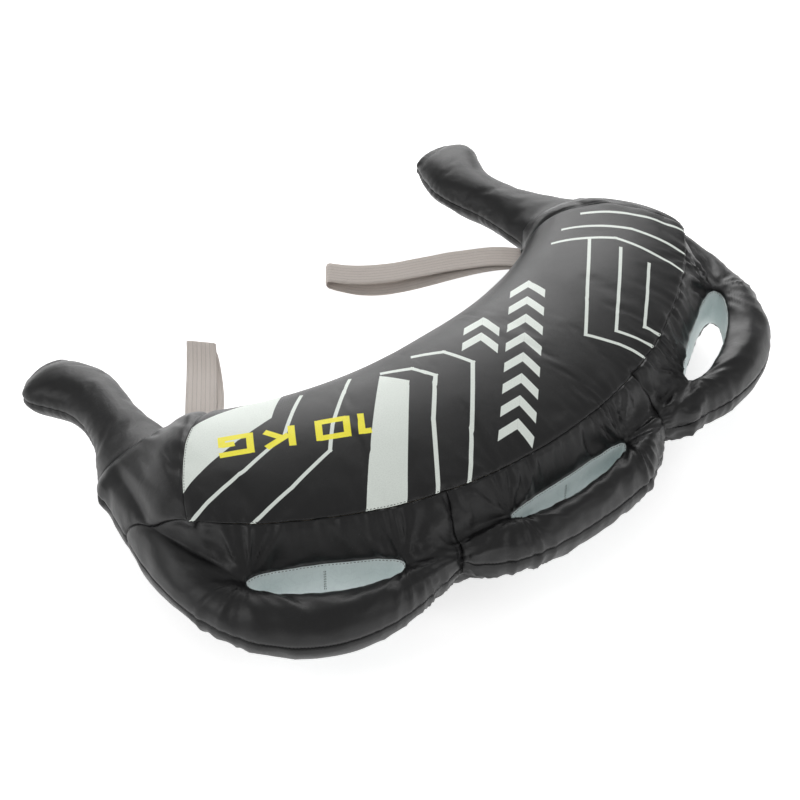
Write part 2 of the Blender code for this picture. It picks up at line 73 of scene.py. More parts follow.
class Skin(Enum):
    """Panels that the skin is cut into; the value marks their faces."""

    PRINTED_TOP = 0
    BOTTOM = 1
    LEFT_HANDLE_UPPER = 2
    LEFT_HANDLE_LOWER = 3
    MIDDLE_HANDLE_UPPER = 4
    MIDDLE_HANDLE_LOWER = 5
    RIGHT_HANDLE_UPPER = 6
    RIGHT_HANDLE_LOWER = 7
    LEFT_END_UPPER = 8
    LEFT_END_LOWER = 9
    RIGHT_END_UPPER = 10
    RIGHT_END_LOWER = 11
    LEFT_LINING = 12
    MIDDLE_LINING = 13
    RIGHT_LINING = 14


# Small tools for arrays and meshes

def mix(start: Value, end: Value, share: Value) -> Value:
    """Straight blend of two values, from share 0 to share 1."""
    return start + (end - start) * share


def ease(share: Value) -> Array:
    """Smooth step from 0 to 1, flat at both ends, of a share that is clipped to 0..1."""
    share = np.clip(share, 0.0, 1.0)
    return share * share * (3 - 2 * share)


def polar(radius: Value, angle: Value) -> Array:
    """Points (..., 3) in the seam plane round the arc's centre; angle 0 points at the middle handle."""
    radius, angle = np.broadcast_arrays(radius, angle)
    return np.stack([radius * np.sin(angle), -radius * np.cos(angle), np.zeros(radius.shape)], -1)


def unit(vectors: Array) -> Array:
    """Vectors (..., 3) scaled to length 1."""
    return vectors / np.maximum(np.linalg.norm(vectors, axis=-1, keepdims=True), 1e-12)


def run_of(line: Array) -> Array:
    """Length along a line at each of its points."""
    return np.concatenate([[0.0], np.cumsum(np.linalg.norm(np.diff(line, axis=0), axis=1))])


def places_along(line: Array, at: Array) -> Array:
    """Points (n, 3) of a line at given lengths along it."""
    return np.stack([np.interp(at, run_of(line), line[:, axis]) for axis in range(3)], 1)


def resample(lines: Array, count: int) -> Array:
    """Points (lines, count + 1, 3) evenly spaced along each line."""
    return np.stack([places_along(line, np.linspace(0.0, run_of(line)[-1], count + 1)) for line in lines])


def smooth_through(places: Sequence[float], values: Sequence[float], at: Array) -> Array:
    """Smooth curve through points, by cubic pieces.

    Args:
        places: Rising places of the points.
        values: Their values.
        at: Where the curve is read.

    Returns:
        The curve's values.
    """
    places, values = np.asarray(places, float), np.asarray(values, float)
    slopes = np.gradient(values, places)
    part = np.clip(np.searchsorted(places, at) - 1, 0, len(places) - 2)
    width = places[part + 1] - places[part]
    t = np.clip((at - places[part]) / width, 0.0, 1.0)
    a, b = values[part], values[part + 1]
    return ((2 * t**3 - 3 * t**2 + 1) * a + (t**3 - 2 * t**2 + t) * width * slopes[part]
            + (3 * t**2 - 2 * t**3) * b + (t**3 - t**2) * width * slopes[part + 1])


def wander(place: Array, seed: int, octaves: int = 2) -> Array:
    """Repeatable smooth noise along a line, about -1 to 1.

    Args:
        place: Places, one unit long waves.
        seed: Picks the pattern.
        octaves: Layers of detail.

    Returns:
        The noise.
    """
    total = np.zeros(np.shape(place))
    for octave in range(octaves):
        spot = np.asarray(place) * 2**octave + 37.7 * octave + seed * 11.3
        cell = np.floor(spot)
        grain = [np.sin((cell + k) * 127.1 + seed * 311.7) * 43758.5453 for k in (0, 1)]
        low, high = (2 * (g - np.floor(g)) - 1 for g in grain)
        total += mix(low, high, ease(spot - cell)) / 2**octave
    return total


def wander_field(across: Array, along: Array, seed: int) -> Array:
    """Repeatable smooth noise over a surface, about -1 to 1.

    Args:
        across: First coordinate, one unit long waves.
        along: Second coordinate.
        seed: Picks the pattern.

    Returns:
        The noise.
    """
    cell_x, cell_y = np.floor(across), np.floor(along)
    step_x, step_y = ease(across - cell_x), ease(along - cell_y)
    corner = []
    for dy in (0, 1):
        for dx in (0, 1):
            grain = np.sin((cell_x + dx) * 127.1 + (cell_y + dy) * 269.5 + seed * 71.9) * 43758.5453
            corner.append(2 * (grain - np.floor(grain)) - 1)
    return mix(mix(corner[0], corner[1], step_x), mix(corner[2], corner[3], step_x), step_y)


def nearest(points: Array, line: Array) -> Tuple[Array, Array]:
    """Distance from points to a line, and how far along the line its nearest point is.

    Args:
        points: Array (n, 3).
        line: Array (m, 3), closely spaced.

    Returns:
        Distances and lengths along the line.
    """
    batch, furthest_slide = 8192, 0.003
    run = run_of(line)
    distance, length = np.empty(len(points)), np.empty(len(points))
    squares = (line**2).sum(1)
    for first in range(0, len(points), batch):
        part = slice(first, first + batch)
        chunk = points[part]
        apart = (chunk**2).sum(1)[:, None] - 2 * chunk @ line.T + squares
        index = apart.argmin(1)
        offset = chunk - line[index]
        ahead = unit(line[np.minimum(index + 1, len(line) - 1)] - line[np.maximum(index - 1, 0)])
        slide = np.clip((offset * ahead).sum(1), -furthest_slide, furthest_slide)
        distance[part] = np.sqrt(np.maximum((offset**2).sum(1) - slide**2, 0.0))
        length[part] = run[index] + slide
    return distance, length


def rows_of(items: Sequence[object], key: str) -> Array:
    """Read a vector of each of a mesh's vertices.

    Args:
        items: The mesh's list that holds it.
        key: Its name there.

    Returns:
        Array (n, 3).
    """
    out = np.empty(len(items) * 3, np.float32)
    items.foreach_get(key, out)
    return out.reshape(-1, 3).astype(float)


def points_of(mesh: Mesh) -> Array:
    """Vertex places of a mesh as an array (n, 3)."""
    return rows_of(mesh.vertices, "co")


def normals_of(mesh: Mesh) -> Array:
    """Vertex normals of a mesh as an array (n, 3)."""
    return rows_of(mesh.vertex_normals, "vector")


def move_points(mesh: Mesh, points: Array) -> None:
    """Write vertex places back to a mesh."""
    mesh.vertices.foreach_set("co", points.astype(np.float32).ravel())
    mesh.update()


def set_all(target: object, **values: object) -> None:
    """Set several properties of one of Blender's items."""
    for key, value in values.items():
        setattr(target, key, value)


def add_object(name: str, points: Array, faces: Sequence[Sequence[int]]) -> Object:
    """A smooth-shaded mesh object in the scene.

    Args:
        name: Name of the piece.
        points: Vertex places (n, 3).
        faces: Vertex numbers of each face.

    Returns:
        The new object.
    """
    mesh = bpy.data.meshes.new(name)
    mesh.from_pydata(np.asarray(points, float).tolist(), [], [list(map(int, face)) for face in faces])
    mesh.update()
    mesh.shade_smooth()
    item = bpy.data.objects.new(name, mesh)
    bpy.context.scene.collection.objects.link(item)
    return item


def set_vectors(mesh: Mesh, name: str, values: Array) -> None:
    """Store a vector at each vertex for the materials to read."""
    layer = mesh.attributes.get(name) or mesh.attributes.new(name, "FLOAT_VECTOR", "POINT")
    layer.data.foreach_set("vector", values.astype(np.float32).ravel())


def get_vectors(mesh: Mesh, name: str) -> Array:
    """Read a vector stored at each vertex."""
    return rows_of(mesh.attributes[name].data, "vector")


def smoothed(mesh: Mesh, values: Array, rounds: int) -> Array:
    """Vertex values evened out over the mesh.

    Args:
        mesh: The mesh.
        values: One row per vertex.
        rounds: How often each vertex takes its neighbours' mean.

    Returns:
        The even values.
    """
    pairs = np.empty(2 * len(mesh.edges), np.int32)
    mesh.edges.foreach_get("vertices", pairs)
    start, end = pairs.reshape(-1, 2).T
    number = len(mesh.vertices)
    count = np.maximum(np.bincount(start, minlength=number) + np.bincount(end, minlength=number), 1)
    for _ in range(rounds):
        total = np.stack([np.bincount(start, values[end, axis], number)
                          + np.bincount(end, values[start, axis], number)
                          for axis in range(values.shape[1])], 1)
        values = (values + total / count[:, None]) / 2
    return values


def refine(item: Object, levels: int) -> None:
    """Subdivide an object's mesh for good.

    Args:
        item: The object.
        levels: Subdivision levels.
    """
    modifier = item.modifiers.new("finer", "SUBSURF")
    modifier.levels = modifier.render_levels = levels
    modifier.boundary_smooth = "PRESERVE_CORNERS"
    depsgraph = bpy.context.evaluated_depsgraph_get()
    made = bpy.data.meshes.new_from_object(item.evaluated_get(depsgraph), depsgraph=depsgraph,
                                           preserve_all_data_layers=True)
    item.modifiers.clear()
    old, item.data = item.data, made
    bpy.data.meshes.remove(old)
    made.shade_smooth()


# Cloth

@dataclass(frozen=True)
class ClothRun:
    """A short cloth simulation that fills a skin and lets its spare cloth fold."""

    frames: int = 20  # steps that are run
    pressure: float = 3.0  # push from inside
    slack: float = 0.018  # share by which the cloth is larger than its pattern
    seam_draw: float = 0.01  # share by which seam cloth is shorter than it
    cap: float = 0.007  # furthest that a point may move
    bending: float = 0.6  # stiffness against folding
    evened: float = 0.7  # share of the broad swelling that is taken out again
    evening: int = 80  # rounds of smoothing that tell it from folds

    def settle(self, item: Object, held: Array, seams: Array, freedom: Array) -> None:
        """Run the cloth and write the result into the mesh.

        Args:
            item: The skin.
            held: Mask of vertices that stay in place.
            seams: Weight of each vertex as seam, 0..1.
            freedom: Share of its move that each vertex keeps.
        """
        before, scene = points_of(item.data), bpy.context.scene
        pins = item.vertex_groups.new(name="held")
        pins.add(np.nonzero(held)[0].tolist(), 1.0, "REPLACE")
        drawn = item.vertex_groups.new(name="seams")
        for level in np.unique(np.round(seams, 1)):
            drawn.add(np.nonzero(np.round(seams, 1) == level)[0].tolist(), float(level), "REPLACE")
        cloth = item.modifiers.new("cloth", "CLOTH")
        set_all(cloth.settings, quality=5, mass=0.2, air_damping=4.0, tension_stiffness=25.0,
                compression_stiffness=25.0, shear_stiffness=12.0, bending_stiffness=self.bending,
                use_pressure=True, uniform_pressure_force=self.pressure, vertex_group_mass="held",
                vertex_group_shrink="seams", shrink_min=-self.slack, shrink_max=self.seam_draw)
        cloth.settings.effector_weights.gravity = 0.0
        set_all(cloth.collision_settings, use_collision=False, use_self_collision=False)
        set_all(cloth.point_cache, frame_start=1, frame_end=self.frames)
        for number in range(1, self.frames + 1):
            scene.frame_set(number)
        settled = item.evaluated_get(bpy.context.evaluated_depsgraph_get())
        moved = np.nan_to_num(points_of(settled.data) - before)
        moved -= self.evened * smoothed(item.data, moved, self.evening)
        moved *= freedom[:, None]
        reach = np.linalg.norm(moved, axis=1, keepdims=True)
        share = self.cap * np.tanh(reach / self.cap) / np.maximum(reach, 1e-9)
        item.modifiers.clear()
        item.vertex_groups.clear()
        scene.frame_set(1)
        move_points(item.data, before + moved * share)
        LOG.info("cloth run on %s: furthest move %.1f mm", item.name, 1000 * float(reach.max()))


@dataclass(frozen=True)
class SeamGather:
    """How cloth gathers along a seam: ridges across it and a valley on it."""

    pitch: float  # one ridge and its furrow, along the seam
    height: float  # of a ridge
    reach: float  # how far from the seam the ridges fade out
    valley: float = 0.0  # depth of the seam's own valley
    crease: float = 0.004  # half width of that valley
    slant: float = 0.0  # how much a ridge leans along the seam
    seed: int = 0  # picks the pattern
    offset: float = 0.0  # of the valley from the seam

    def height_at(self, distance: Array, run: Array, number: int) -> Array:
        """Height of the cloth near the seam.

        Args:
            distance: Distance from the seam.
            run: Length along it.
            number: Which of several like seams, to vary the pattern.

        Returns:
            Heights along the normal.
        """
        seed = self.seed + 13 * number
        lean = self.slant * wander(run / (5 * self.pitch), seed + 5)
        spot = (run + lean * distance) / self.pitch
        spot = spot + 0.9 * wander(spot / 3.1, seed)
        loud = 0.35 + 0.65 * np.abs(wander(spot / 2.3 + 0.5 * distance / self.reach, seed + 1))
        far = self.reach * (0.6 + 0.7 * np.abs(wander(spot / 1.7, seed + 2)))
        ridge = np.abs(np.sin(pi * spot)) ** 0.8 * 2 - 1.2
        fade = np.exp(-((distance / far) ** 1.5))
        valley = self.valley * np.exp(-(((distance - self.offset) / self.crease) ** 2))
        return self.height * loud * ridge * fade - valley


@dataclass(frozen=True)
class StarFold:
    """Folds that spread from a point where the cloth is drawn together."""

    folds: float  # in a full turn
    height: float  # the greatest
    reach: float  # over which they fade out
    seed: int = 0  # picks the pattern

    def height_at(self, offset: Array, number: int) -> Array:
        """Height of the cloth round the point.

        Args:
            offset: Places from the point.
            number: Which of several like points, to vary the pattern.

        Returns:
            Heights along the normal.
        """
        away = np.hypot(offset[:, 0], offset[:, 1])
        turn = np.arctan2(offset[:, 1], offset[:, 0]) / (2 * pi) * self.folds
        seed = self.seed + 7 * number
        spot = turn + 0.4 * wander(turn, seed) + 0.3 * wander(away / 0.03, seed + 1)
        wave = (1 - np.abs(np.sin(pi * spot)) ** 0.7) * 2 - 0.7
        wave = wave * (0.5 + 0.5 * np.abs(wander(spot, seed + 2)))
        swell = (away / self.reach) * np.exp(1 - away / self.reach)
        near = np.exp(-((offset[:, 2] / 0.03) ** 2))
        return self.height * wave * swell * near * (away < 4 * self.reach)


# The plan and the sections of the bag

@dataclass(frozen=True)
class Slot:
    """A handle's lens-shaped cut-through."""

    centre: float  # angle of its middle
    half_angle: float  # half its length, as an angle
    radius: float  # of its middle line, from the arc's centre
    half_width: float

    @property
    def first(self) -> float:
        """Angle of its end towards the middle handle."""
        return self.centre - self.half_angle

    @property
    def last(self) -> float:
        """Angle of its other end."""
        return self.centre + self.half_angle

    def half_at(self, angle: Array) -> Array:
        """Half the opening's width at each angle, 0 outside the slot."""
        along = (angle - self.centre) / self.half_angle
        return self.half_width * np.sqrt(np.maximum(0.0, 1 - along * along))


@dataclass(frozen=True)
class CrescentPlan:
    """Plan and sections of the right half of the filled bag, from the arc's centre.

    The sizes repeat those of the solids, so that the cloth lies where they are.
    """

    arc_radius: float = 0.3885
    end_angle: float = radians(47.8)
    body_depth: float = 0.184
    end_depth: float = 0.1467
    bay_flare_power: float = 1.7
    ridge_height: float = 0.077
    end_ridge_height: float = 0.070
    ridge_setback: float = 0.072
    end_ridge_setback: float = 0.070
    ridge_squareness: float = 2.8
    end_seam_bow: float = 0.012
    edge_height: float = 0.057
    seam_plane: float = 0.058
    middle_lobe_reach: float = 0.053
    pinch_reach: float = 0.032
    side_lobe_bulge: float = 0.080
    pinch_share: float = 0.341
    rim_end_angle_share: float = 1.197
    rim_end_radius_share: float = 0.934
    side_seam_middle_share: float = 0.5
    side_seam_height_share: float = 0.53
    wall_bulge: float = 0.003
    roll_crown_share: float = 0.35
    middle_slot_length: float = 0.131
    middle_slot_width: float = 0.018
    middle_slot_setout: float = 0.020
    side_slot_length: float = 0.126
    side_slot_width: float = 0.028
    side_slot_setout: float = 0.0295
    side_slot_place_share: float = 0.495
    slot_edge_height: float = 0.020
    crease_shift: float = 0.0239
    end_length: float = 0.0259
    crease_edge_share: float = 0.37
    crease_wall_share: float = 0.28
    grip_length: float = 0.164
    grip_root_width: float = 0.085
    grip_root_height: float = 0.050
    mouth_clearance: float = 0.0018

    @property
    def pinch_angle(self) -> float:
        """Angle of the notch between the middle and the side handle."""
        return self.pinch_share * self.end_angle

    @property
    def middle_slot(self) -> Slot:
        """The middle handle's slot."""
        radius = self.arc_radius + self.middle_slot_setout
        return Slot(0.0, self.middle_slot_length / 2 / radius, radius, self.middle_slot_width / 2)

    @property
    def side_slot(self) -> Slot:
        """The side handle's slot."""
        radius = self.arc_radius + self.side_slot_setout
        centre = mix(self.pinch_angle, self.end_angle, self.side_slot_place_share)
        return Slot(centre, self.side_slot_length / 2 / radius, radius, self.side_slot_width / 2)

    @property
    def end_corner(self) -> Array:
        """Corner of the bag's end, at its bay seam."""
        return polar(self.bay_radius(self.end_angle), self.end_angle)

    @property
    def crease_centre(self) -> Array:
        """Middle of the crease between the bag's end and its grip."""
        out = np.array([self.crease_shift + self.grip_root_width / 2, self.end_length, 0.0])
        return self.end_corner + out

    @property
    def shift(self) -> Array:
        """From the arc's centre to the part's own origin."""
        reach = self.arc_radius + self.middle_lobe_reach - self.crease_centre[1] - self.grip_length
        return np.array([0.0, reach / 2, self.seam_plane])

    def bay_radius(self, angle: Value) -> Value:
        """Distance of the bay's seam from the arc's centre."""
        depth = mix(self.body_depth, self.end_depth, (angle / self.end_angle) ** self.bay_flare_power)
        return self.arc_radius - depth

    def slot_half(self, angle: Array) -> Array:
        """Half the width of the slot that a rib crosses, 0 where it crosses none."""
        return self.middle_slot.half_at(angle) + self.side_slot.half_at(angle)

    def rim_point(self, angle: Value) -> Array:
        """Outer seam of each rib; ribs fan out towards the bag's end.

        Args:
            angle: Rib angles.

        Returns:
            Points (..., 3).
        """
        pinch, end = self.pinch_angle, self.end_angle
        far = self.rim_end_angle_share * end
        share = np.maximum(0.0, (angle - pinch) / (end - pinch))
        fanned = angle + (far - end) * share * share
        notch = self.arc_radius + self.pinch_reach
        lobe = notch + (self.middle_lobe_reach - self.pinch_reach) * (1 - (fanned / pinch) ** 4)
        part = (fanned - pinch) / (far - pinch)
        side = mix(notch, self.rim_end_radius_share * self.arc_radius, part)
        side = side + self.side_lobe_bulge * np.sin(pi * part)
        return polar(np.where(fanned <= pinch, lobe, side), fanned)

    def trough_point(self, angle: Array) -> Array:
        """Bottom of the trough between body and handle, where the slots are cut.

        Args:
            angle: Rib angles.

        Returns:
            Points (n, 3).
        """
        slot, end = self.side_slot, self.end_angle
        share = ease((angle - self.pinch_angle) / (slot.first - self.pinch_angle))
        near = polar(mix(self.middle_slot.radius, slot.radius, share), angle)
        last = mix(polar(self.arc_radius, end), self.rim_point(end), self.side_seam_middle_share)
        part = ((angle - slot.last) / (end - slot.last))[:, None]
        return np.where(angle[:, None] <= slot.last, near, mix(polar(slot.radius, slot.last), last, part))

    def trough_height(self, angle: Array) -> Array:
        """Height of the trough over the seam plane."""
        share = ease((angle - self.side_slot.last) / (self.end_angle - self.side_slot.last))
        return mix(self.slot_edge_height, self.edge_height * self.side_seam_height_share, share)

    def strap_root(self) -> Tuple[Array, Array, Array]:
        """Where the right strap is sewn in.

        Returns:
            Middle of its seam, the seam's direction, and the way out of the bag.
        """
        mouth = self.crease_centre - np.array([self.grip_root_width / 2 + self.mouth_clearance, 0, 0])
        across = unit(mouth - self.end_corner)
        return mix(self.end_corner, mouth, 0.5), across, np.array([-across[1], across[0], 0.0])

    def roll_crown(self, angle: Array) -> Array:
        """Height of the handle over the trough.

        Args:
            angle: Rib angles.

        Returns:
            Factors of the trough's height.
        """
        pinch = self.pinch_angle
        middle = 1 - np.minimum(angle / pinch, 1.0) ** 4
        side = np.sin(pi * np.clip((angle - pinch) / (self.end_angle - pinch), 0, 1))
        return 1 + self.roll_crown_share * np.where(angle <= pinch, middle, side)

    def top_lines(self, angle: Array, rows: int) -> Array:
        """The top panel's sections, from the bay seam over the ridge to the outer edge.

        Args:
            angle: Rib angles.
            rows: Steps along each section.

        Returns:
            Points (ribs, rows + 1, 3).
        """
        share = (angle / self.end_angle)[:, None]
        start, end = polar(self.bay_radius(angle), angle), polar(self.arc_radius, angle)
        depth = np.linalg.norm(end - start, axis=1)[:, None]
        ridge = mix(self.ridge_height, self.end_ridge_height, share**2)
        setback = mix(self.ridge_setback, self.end_ridge_setback, share)
        turn, fall = np.linspace(0, pi / 2, 24)[None, :-1], np.linspace(0, 1, 24)[None, :]
        power = 2 / self.ridge_squareness
        place = np.concatenate([setback * (1 - np.cos(turn)**power) / depth,
                                mix(setback / depth, 1.0, fall)], 1)
        height = np.concatenate([ridge * np.sin(turn)**power, mix(ridge, self.edge_height, fall**2)], 1)
        out = mix(start[:, None], end[:, None], place[..., None])
        bow = np.stack([np.cos(angle), np.sin(angle), 0 * angle], 1)[:, None] * self.end_seam_bow
        out += bow * (share**2 * np.sin(pi * place))[..., None]
        out[..., 2] = height
        return resample(out, rows)

    def wall_lines(self, angle: Array, foot: Array, rows: int) -> Array:
        """The handle panels' sections, from the top panel's edge down to the trough.

        Args:
            angle: Rib angles.
            foot: Where each section ends, in plan.
            rows: Steps along each section.

        Returns:
            Points (ribs, rows + 1, 3).
        """
        share = np.linspace(0, 1, rows + 1)[None, :]
        out = mix(polar(self.arc_radius, angle)[:, None], foot[:, None], share[..., None])
        bulge = self.wall_bulge * np.sin(pi * share)
        out[..., 2] = mix(self.edge_height, self.trough_height(angle)[:, None], share) + bulge
        return out

    def roll_lines(self, angle: Array, foot: Array, rows: int) -> Array:
        """Sections over the handle, from the trough to the outer seam.

        Args:
            angle: Rib angles.
            foot: Where each section starts, in plan.
            rows: Steps along each section.

        Returns:
            Points (ribs, rows + 1, 3).
        """
        crown = self.roll_crown(angle)[:, None]
        first = pi - np.arcsin(1 / crown)
        turn = first * (1 - np.linspace(0, 1, 30)[None, :])
        place = (np.cos(turn) - np.cos(first)) / (1 - np.cos(first))
        out = mix(foot[:, None], self.rim_point(angle)[:, None], place[..., None])
        out[..., 2] = self.trough_height(angle)[:, None] * crown * np.sin(turn)
        return resample(out, rows)

    def mouth_line(self, top: int, wall: int, roll: int) -> Array:
        """The bag's open end round the grip: half an ellipse over the crease.

        Args:
            top: Steps of the top panel's share.
            wall: Steps of the wall's share.
            roll: Steps of the handle's share.

        Returns:
            Points (top + wall + roll + 1, 3).
        """
        edge, low = pi * self.crease_edge_share, pi * self.crease_wall_share
        turn = np.concatenate([np.linspace(pi, edge, top + 1), np.linspace(edge, low, wall + 1)[1:],
                               np.linspace(low, 0, roll + 1)[1:]])
        half_width = self.grip_root_width / 2 + self.mouth_clearance
        half_height = self.grip_root_height / 2 + self.mouth_clearance
        offset = np.stack([half_width * np.cos(turn), 0 * turn, half_height * np.sin(turn)], 1)
        return self.crease_centre + offset


LINING_ROW = 100


@dataclass
class FilledSkin:
    """The bag's whole skin as one fine grid, before it is cut into its panels.

    Ribs run across the bag, rows along it. A slot's lining has rows of its own, from LINING_ROW on.
    """

    plan: CrescentPlan
    top_rows: int = 42  # steps across the top panel
    wall_rows: int = 6  # down the wall
    roll_rows: int = 13  # over a handle
    end_steps: int = 13  # along a bag end
    lining_rows: int = 6  # down a slot's lining
    hem: float = 0.0022  # depth of a panel's turned-in edge
    softening: int = 2  # rounds that even out the pattern between its seams
    tip_softening: int = 14  # rounds that even out the wall over the slots' tips
    tip_reach: float = 0.045  # how far from a tip they reach
    root_press: float = 0.0012  # how deep the cloth is pressed in over a strap's root
    cloth: ClothRun = field(default_factory=ClothRun)
    seeds: Tuple[Tuple[str, SeamGather], ...] = (  # folds laid before the run
        ("edge", SeamGather(0.0130, 0.0019, 0.032, seed=3, slant=0.3)),
        ("slot", SeamGather(0.0170, 0.0003, 0.014, seed=9, slant=0.6)),
        ("slot_under", SeamGather(0.0170, 0.0003, 0.014, seed=29, slant=0.6)),
        ("rim", SeamGather(0.0160, 0.0006, 0.016, seed=17, slant=0.5)),
        ("notch", SeamGather(0.0120, 0.0012, 0.022, seed=41, slant=0.7)),
        ("end", SeamGather(0.0150, 0.0005, 0.014, seed=53, slant=0.5)),
        ("mouth", SeamGather(0.0130, 0.0008, 0.018, -0.0030, 0.008, 0.5, 71, 0.010)),
    )
    stars: Tuple[StarFold, ...] = (StarFold(9, 0.0026, 0.027, 5),)  # laid before the run
    fine_stars: Tuple[StarFold, ...] = (StarFold(17, 0.0024, 0.018, 31),)  # laid after it
    puckers: Tuple[Tuple[str, SeamGather], ...] = (  # laid after it
        ("edge", SeamGather(0.0105, 0.0015, 0.021, 0.0022, 0.0026, seed=103)),
        ("under_edge", SeamGather(0.0085, 0.0005, 0.006, 0.0016, 0.0030, seed=107)),
        ("slot", SeamGather(0.0095, 0.0003, 0.007, 0.0008, 0.0024, seed=109)),
        ("slot_under", SeamGather(0.0095, 0.0003, 0.007, 0.0008, 0.0024, seed=127)),
        ("rim", SeamGather(0.0085, 0.0004, 0.009, 0.0014, 0.0026, seed=113)),
        ("bay", SeamGather(0.0110, 0.0004, 0.007, 0.0016, 0.0030, seed=131)),
        ("notch", SeamGather(0.0080, 0.0008, 0.010, 0.0026, 0.0050, seed=137)),
        ("end", SeamGather(0.0090, 0.0002, 0.006, 0.0013, 0.0024, seed=139)),
        ("lining_seam", SeamGather(0.0100, 0.0, 0.004, 0.0018, 0.0020)),
    )
    item: Optional[Object] = None
    angles: Array = field(default_factory=lambda: np.zeros(0))
    spans: List[Tuple[int, int, Skin]] = field(default_factory=list)  # each slot's ribs
    pinch_rib: int = 0  # rib of the notch

    @property
    def seam_row(self) -> int:
        """Row of the trough, where the slots are cut."""
        return self.top_rows + self.wall_rows

    @property
    def rim_row(self) -> int:
        """Row of the outer seam, the last one."""
        return self.seam_row + self.roll_rows

    @property
    def end_rib(self) -> int:
        """Rib of the end seam."""
        return len(self.angles) - 1

    def ribs(self) -> Array:
        """Rib angles of the right half, on the slots' ends and closer together towards them.

        Returns:
            Rising angles from 0 to the end's angle.
        """
        def tightened(steps: int, both: bool) -> Array:
            """Shares from 0 to 1, closer together towards 1 or towards both ends."""
            even = np.linspace(0, 1, steps + 1)
            return mix(even, (1 - np.cos(pi * even)) / 2 if both else np.sin(pi / 2 * even), 0.6)

        middle, side, pinch = self.plan.middle_slot, self.plan.side_slot, self.plan.pinch_angle
        return np.concatenate([middle.half_angle * tightened(16, False),
                               np.linspace(middle.half_angle, pinch, 12)[1:],
                               np.linspace(pinch, side.first, 12)[1:],
                               mix(side.first, side.last, tightened(28, True))[1:],
                               np.linspace(side.last, self.plan.end_angle, 13)[1:]])

    def half_grid(self) -> Tuple[Array, Array]:
        """Points of the upper sheet's right half.

        Returns:
            Points (columns, rows, 3), and the handle's own first row (columns, 3).
        """
        angle = self.angles = self.ribs()
        trough, half = self.plan.trough_point(angle), self.plan.slot_half(angle)
        radial = unit(trough)
        inner, outer = trough - radial * half[:, None], trough + radial * half[:, None]
        top = self.plan.top_lines(angle, self.top_rows)
        wall = self.plan.wall_lines(angle, inner, self.wall_rows)
        roll = self.plan.roll_lines(angle, outer, self.roll_rows)
        body = np.concatenate([top, wall[:, 1:], roll[:, 1:]], 1)
        mouth = self.plan.mouth_line(self.top_rows, self.wall_rows, self.roll_rows)
        share = (np.arange(1, self.end_steps + 1) / self.end_steps)[:, None, None]
        end = mix(body[-1][None], mouth[None], share)
        end[..., 2] = mix(body[-1][None, :, 2], mouth[None, :, 2], 1 - np.cos(pi / 2 * share[..., 0]))
        return np.concatenate([body, end], 0), np.concatenate([roll[:, 0], end[:, self.seam_row]], 0)

    def settled_floor(self, height: Array) -> Array:
        """Level the lower sheet softly at the floor.

        Args:
            height: Heights of the upper sheet.

        Returns:
            Depths of the lower one.
        """
        soft, floor = 250.0, self.plan.seam_plane
        lowered = -np.log(np.exp(-soft * height) + np.exp(-soft * floor)) / soft
        return np.where(height < floor / 3, height, lowered)

    def build(self) -> Object:
        """Draw the skin, fill it and pucker its seams.

        Returns:
            The skin, still in one piece.
        """
        grid, first = self.half_grid()
        columns = len(grid)
        open_rib = np.pad(self.plan.slot_half(self.angles) > 1e-6, (0, self.end_steps))
        self.pinch_rib = int(np.abs(self.angles - self.plan.pinch_angle).argmin())
        self.spans = self.slot_spans(open_rib)
        numbers: Dict[Tuple[int, int, object], int] = {}
        points: List[Array] = []
        tags: List[Tuple[float, float, float]] = []
        faces: List[List[int]] = []
        marks: List[int] = []

        def vertex(key: Tuple[int, int, object], place: Array, step: float) -> int:
            """Number of the vertex with a key, laid when it is first asked for.

            Args:
                key: Level, rib and row.
                place: Its place.
                step: Its row as a number.

            Returns:
                The vertex number.
            """
            if key not in numbers:
                numbers[key] = len(points)
                points.append(place)
                tags.append((key[1], step, key[0]))
            return numbers[key]

        def on_sheet(level: int, rib: int, row: object) -> int:
            """Number of a sheet's vertex.

            Args:
                level: 1 for the upper sheet, -1 for the lower one.
                rib: Its rib, below 0 in the left half.
                row: Its row, or "outer" for the handle's own first row along a slot.

            Returns:
                The vertex number.
            """
            if row == "outer" and not open_rib[abs(rib)]:
                row = self.seam_row
            if row in (0, self.rim_row):
                level = 1
            place = (first[abs(rib)] if row == "outer" else grid[abs(rib), row]).copy()
            if level < 0:
                place[2] = -self.settled_floor(place[2])
            if rib < 0:
                place[0] = -place[0]
            return vertex((level, rib, row), place, self.seam_row + 0.5 if row == "outer" else row)

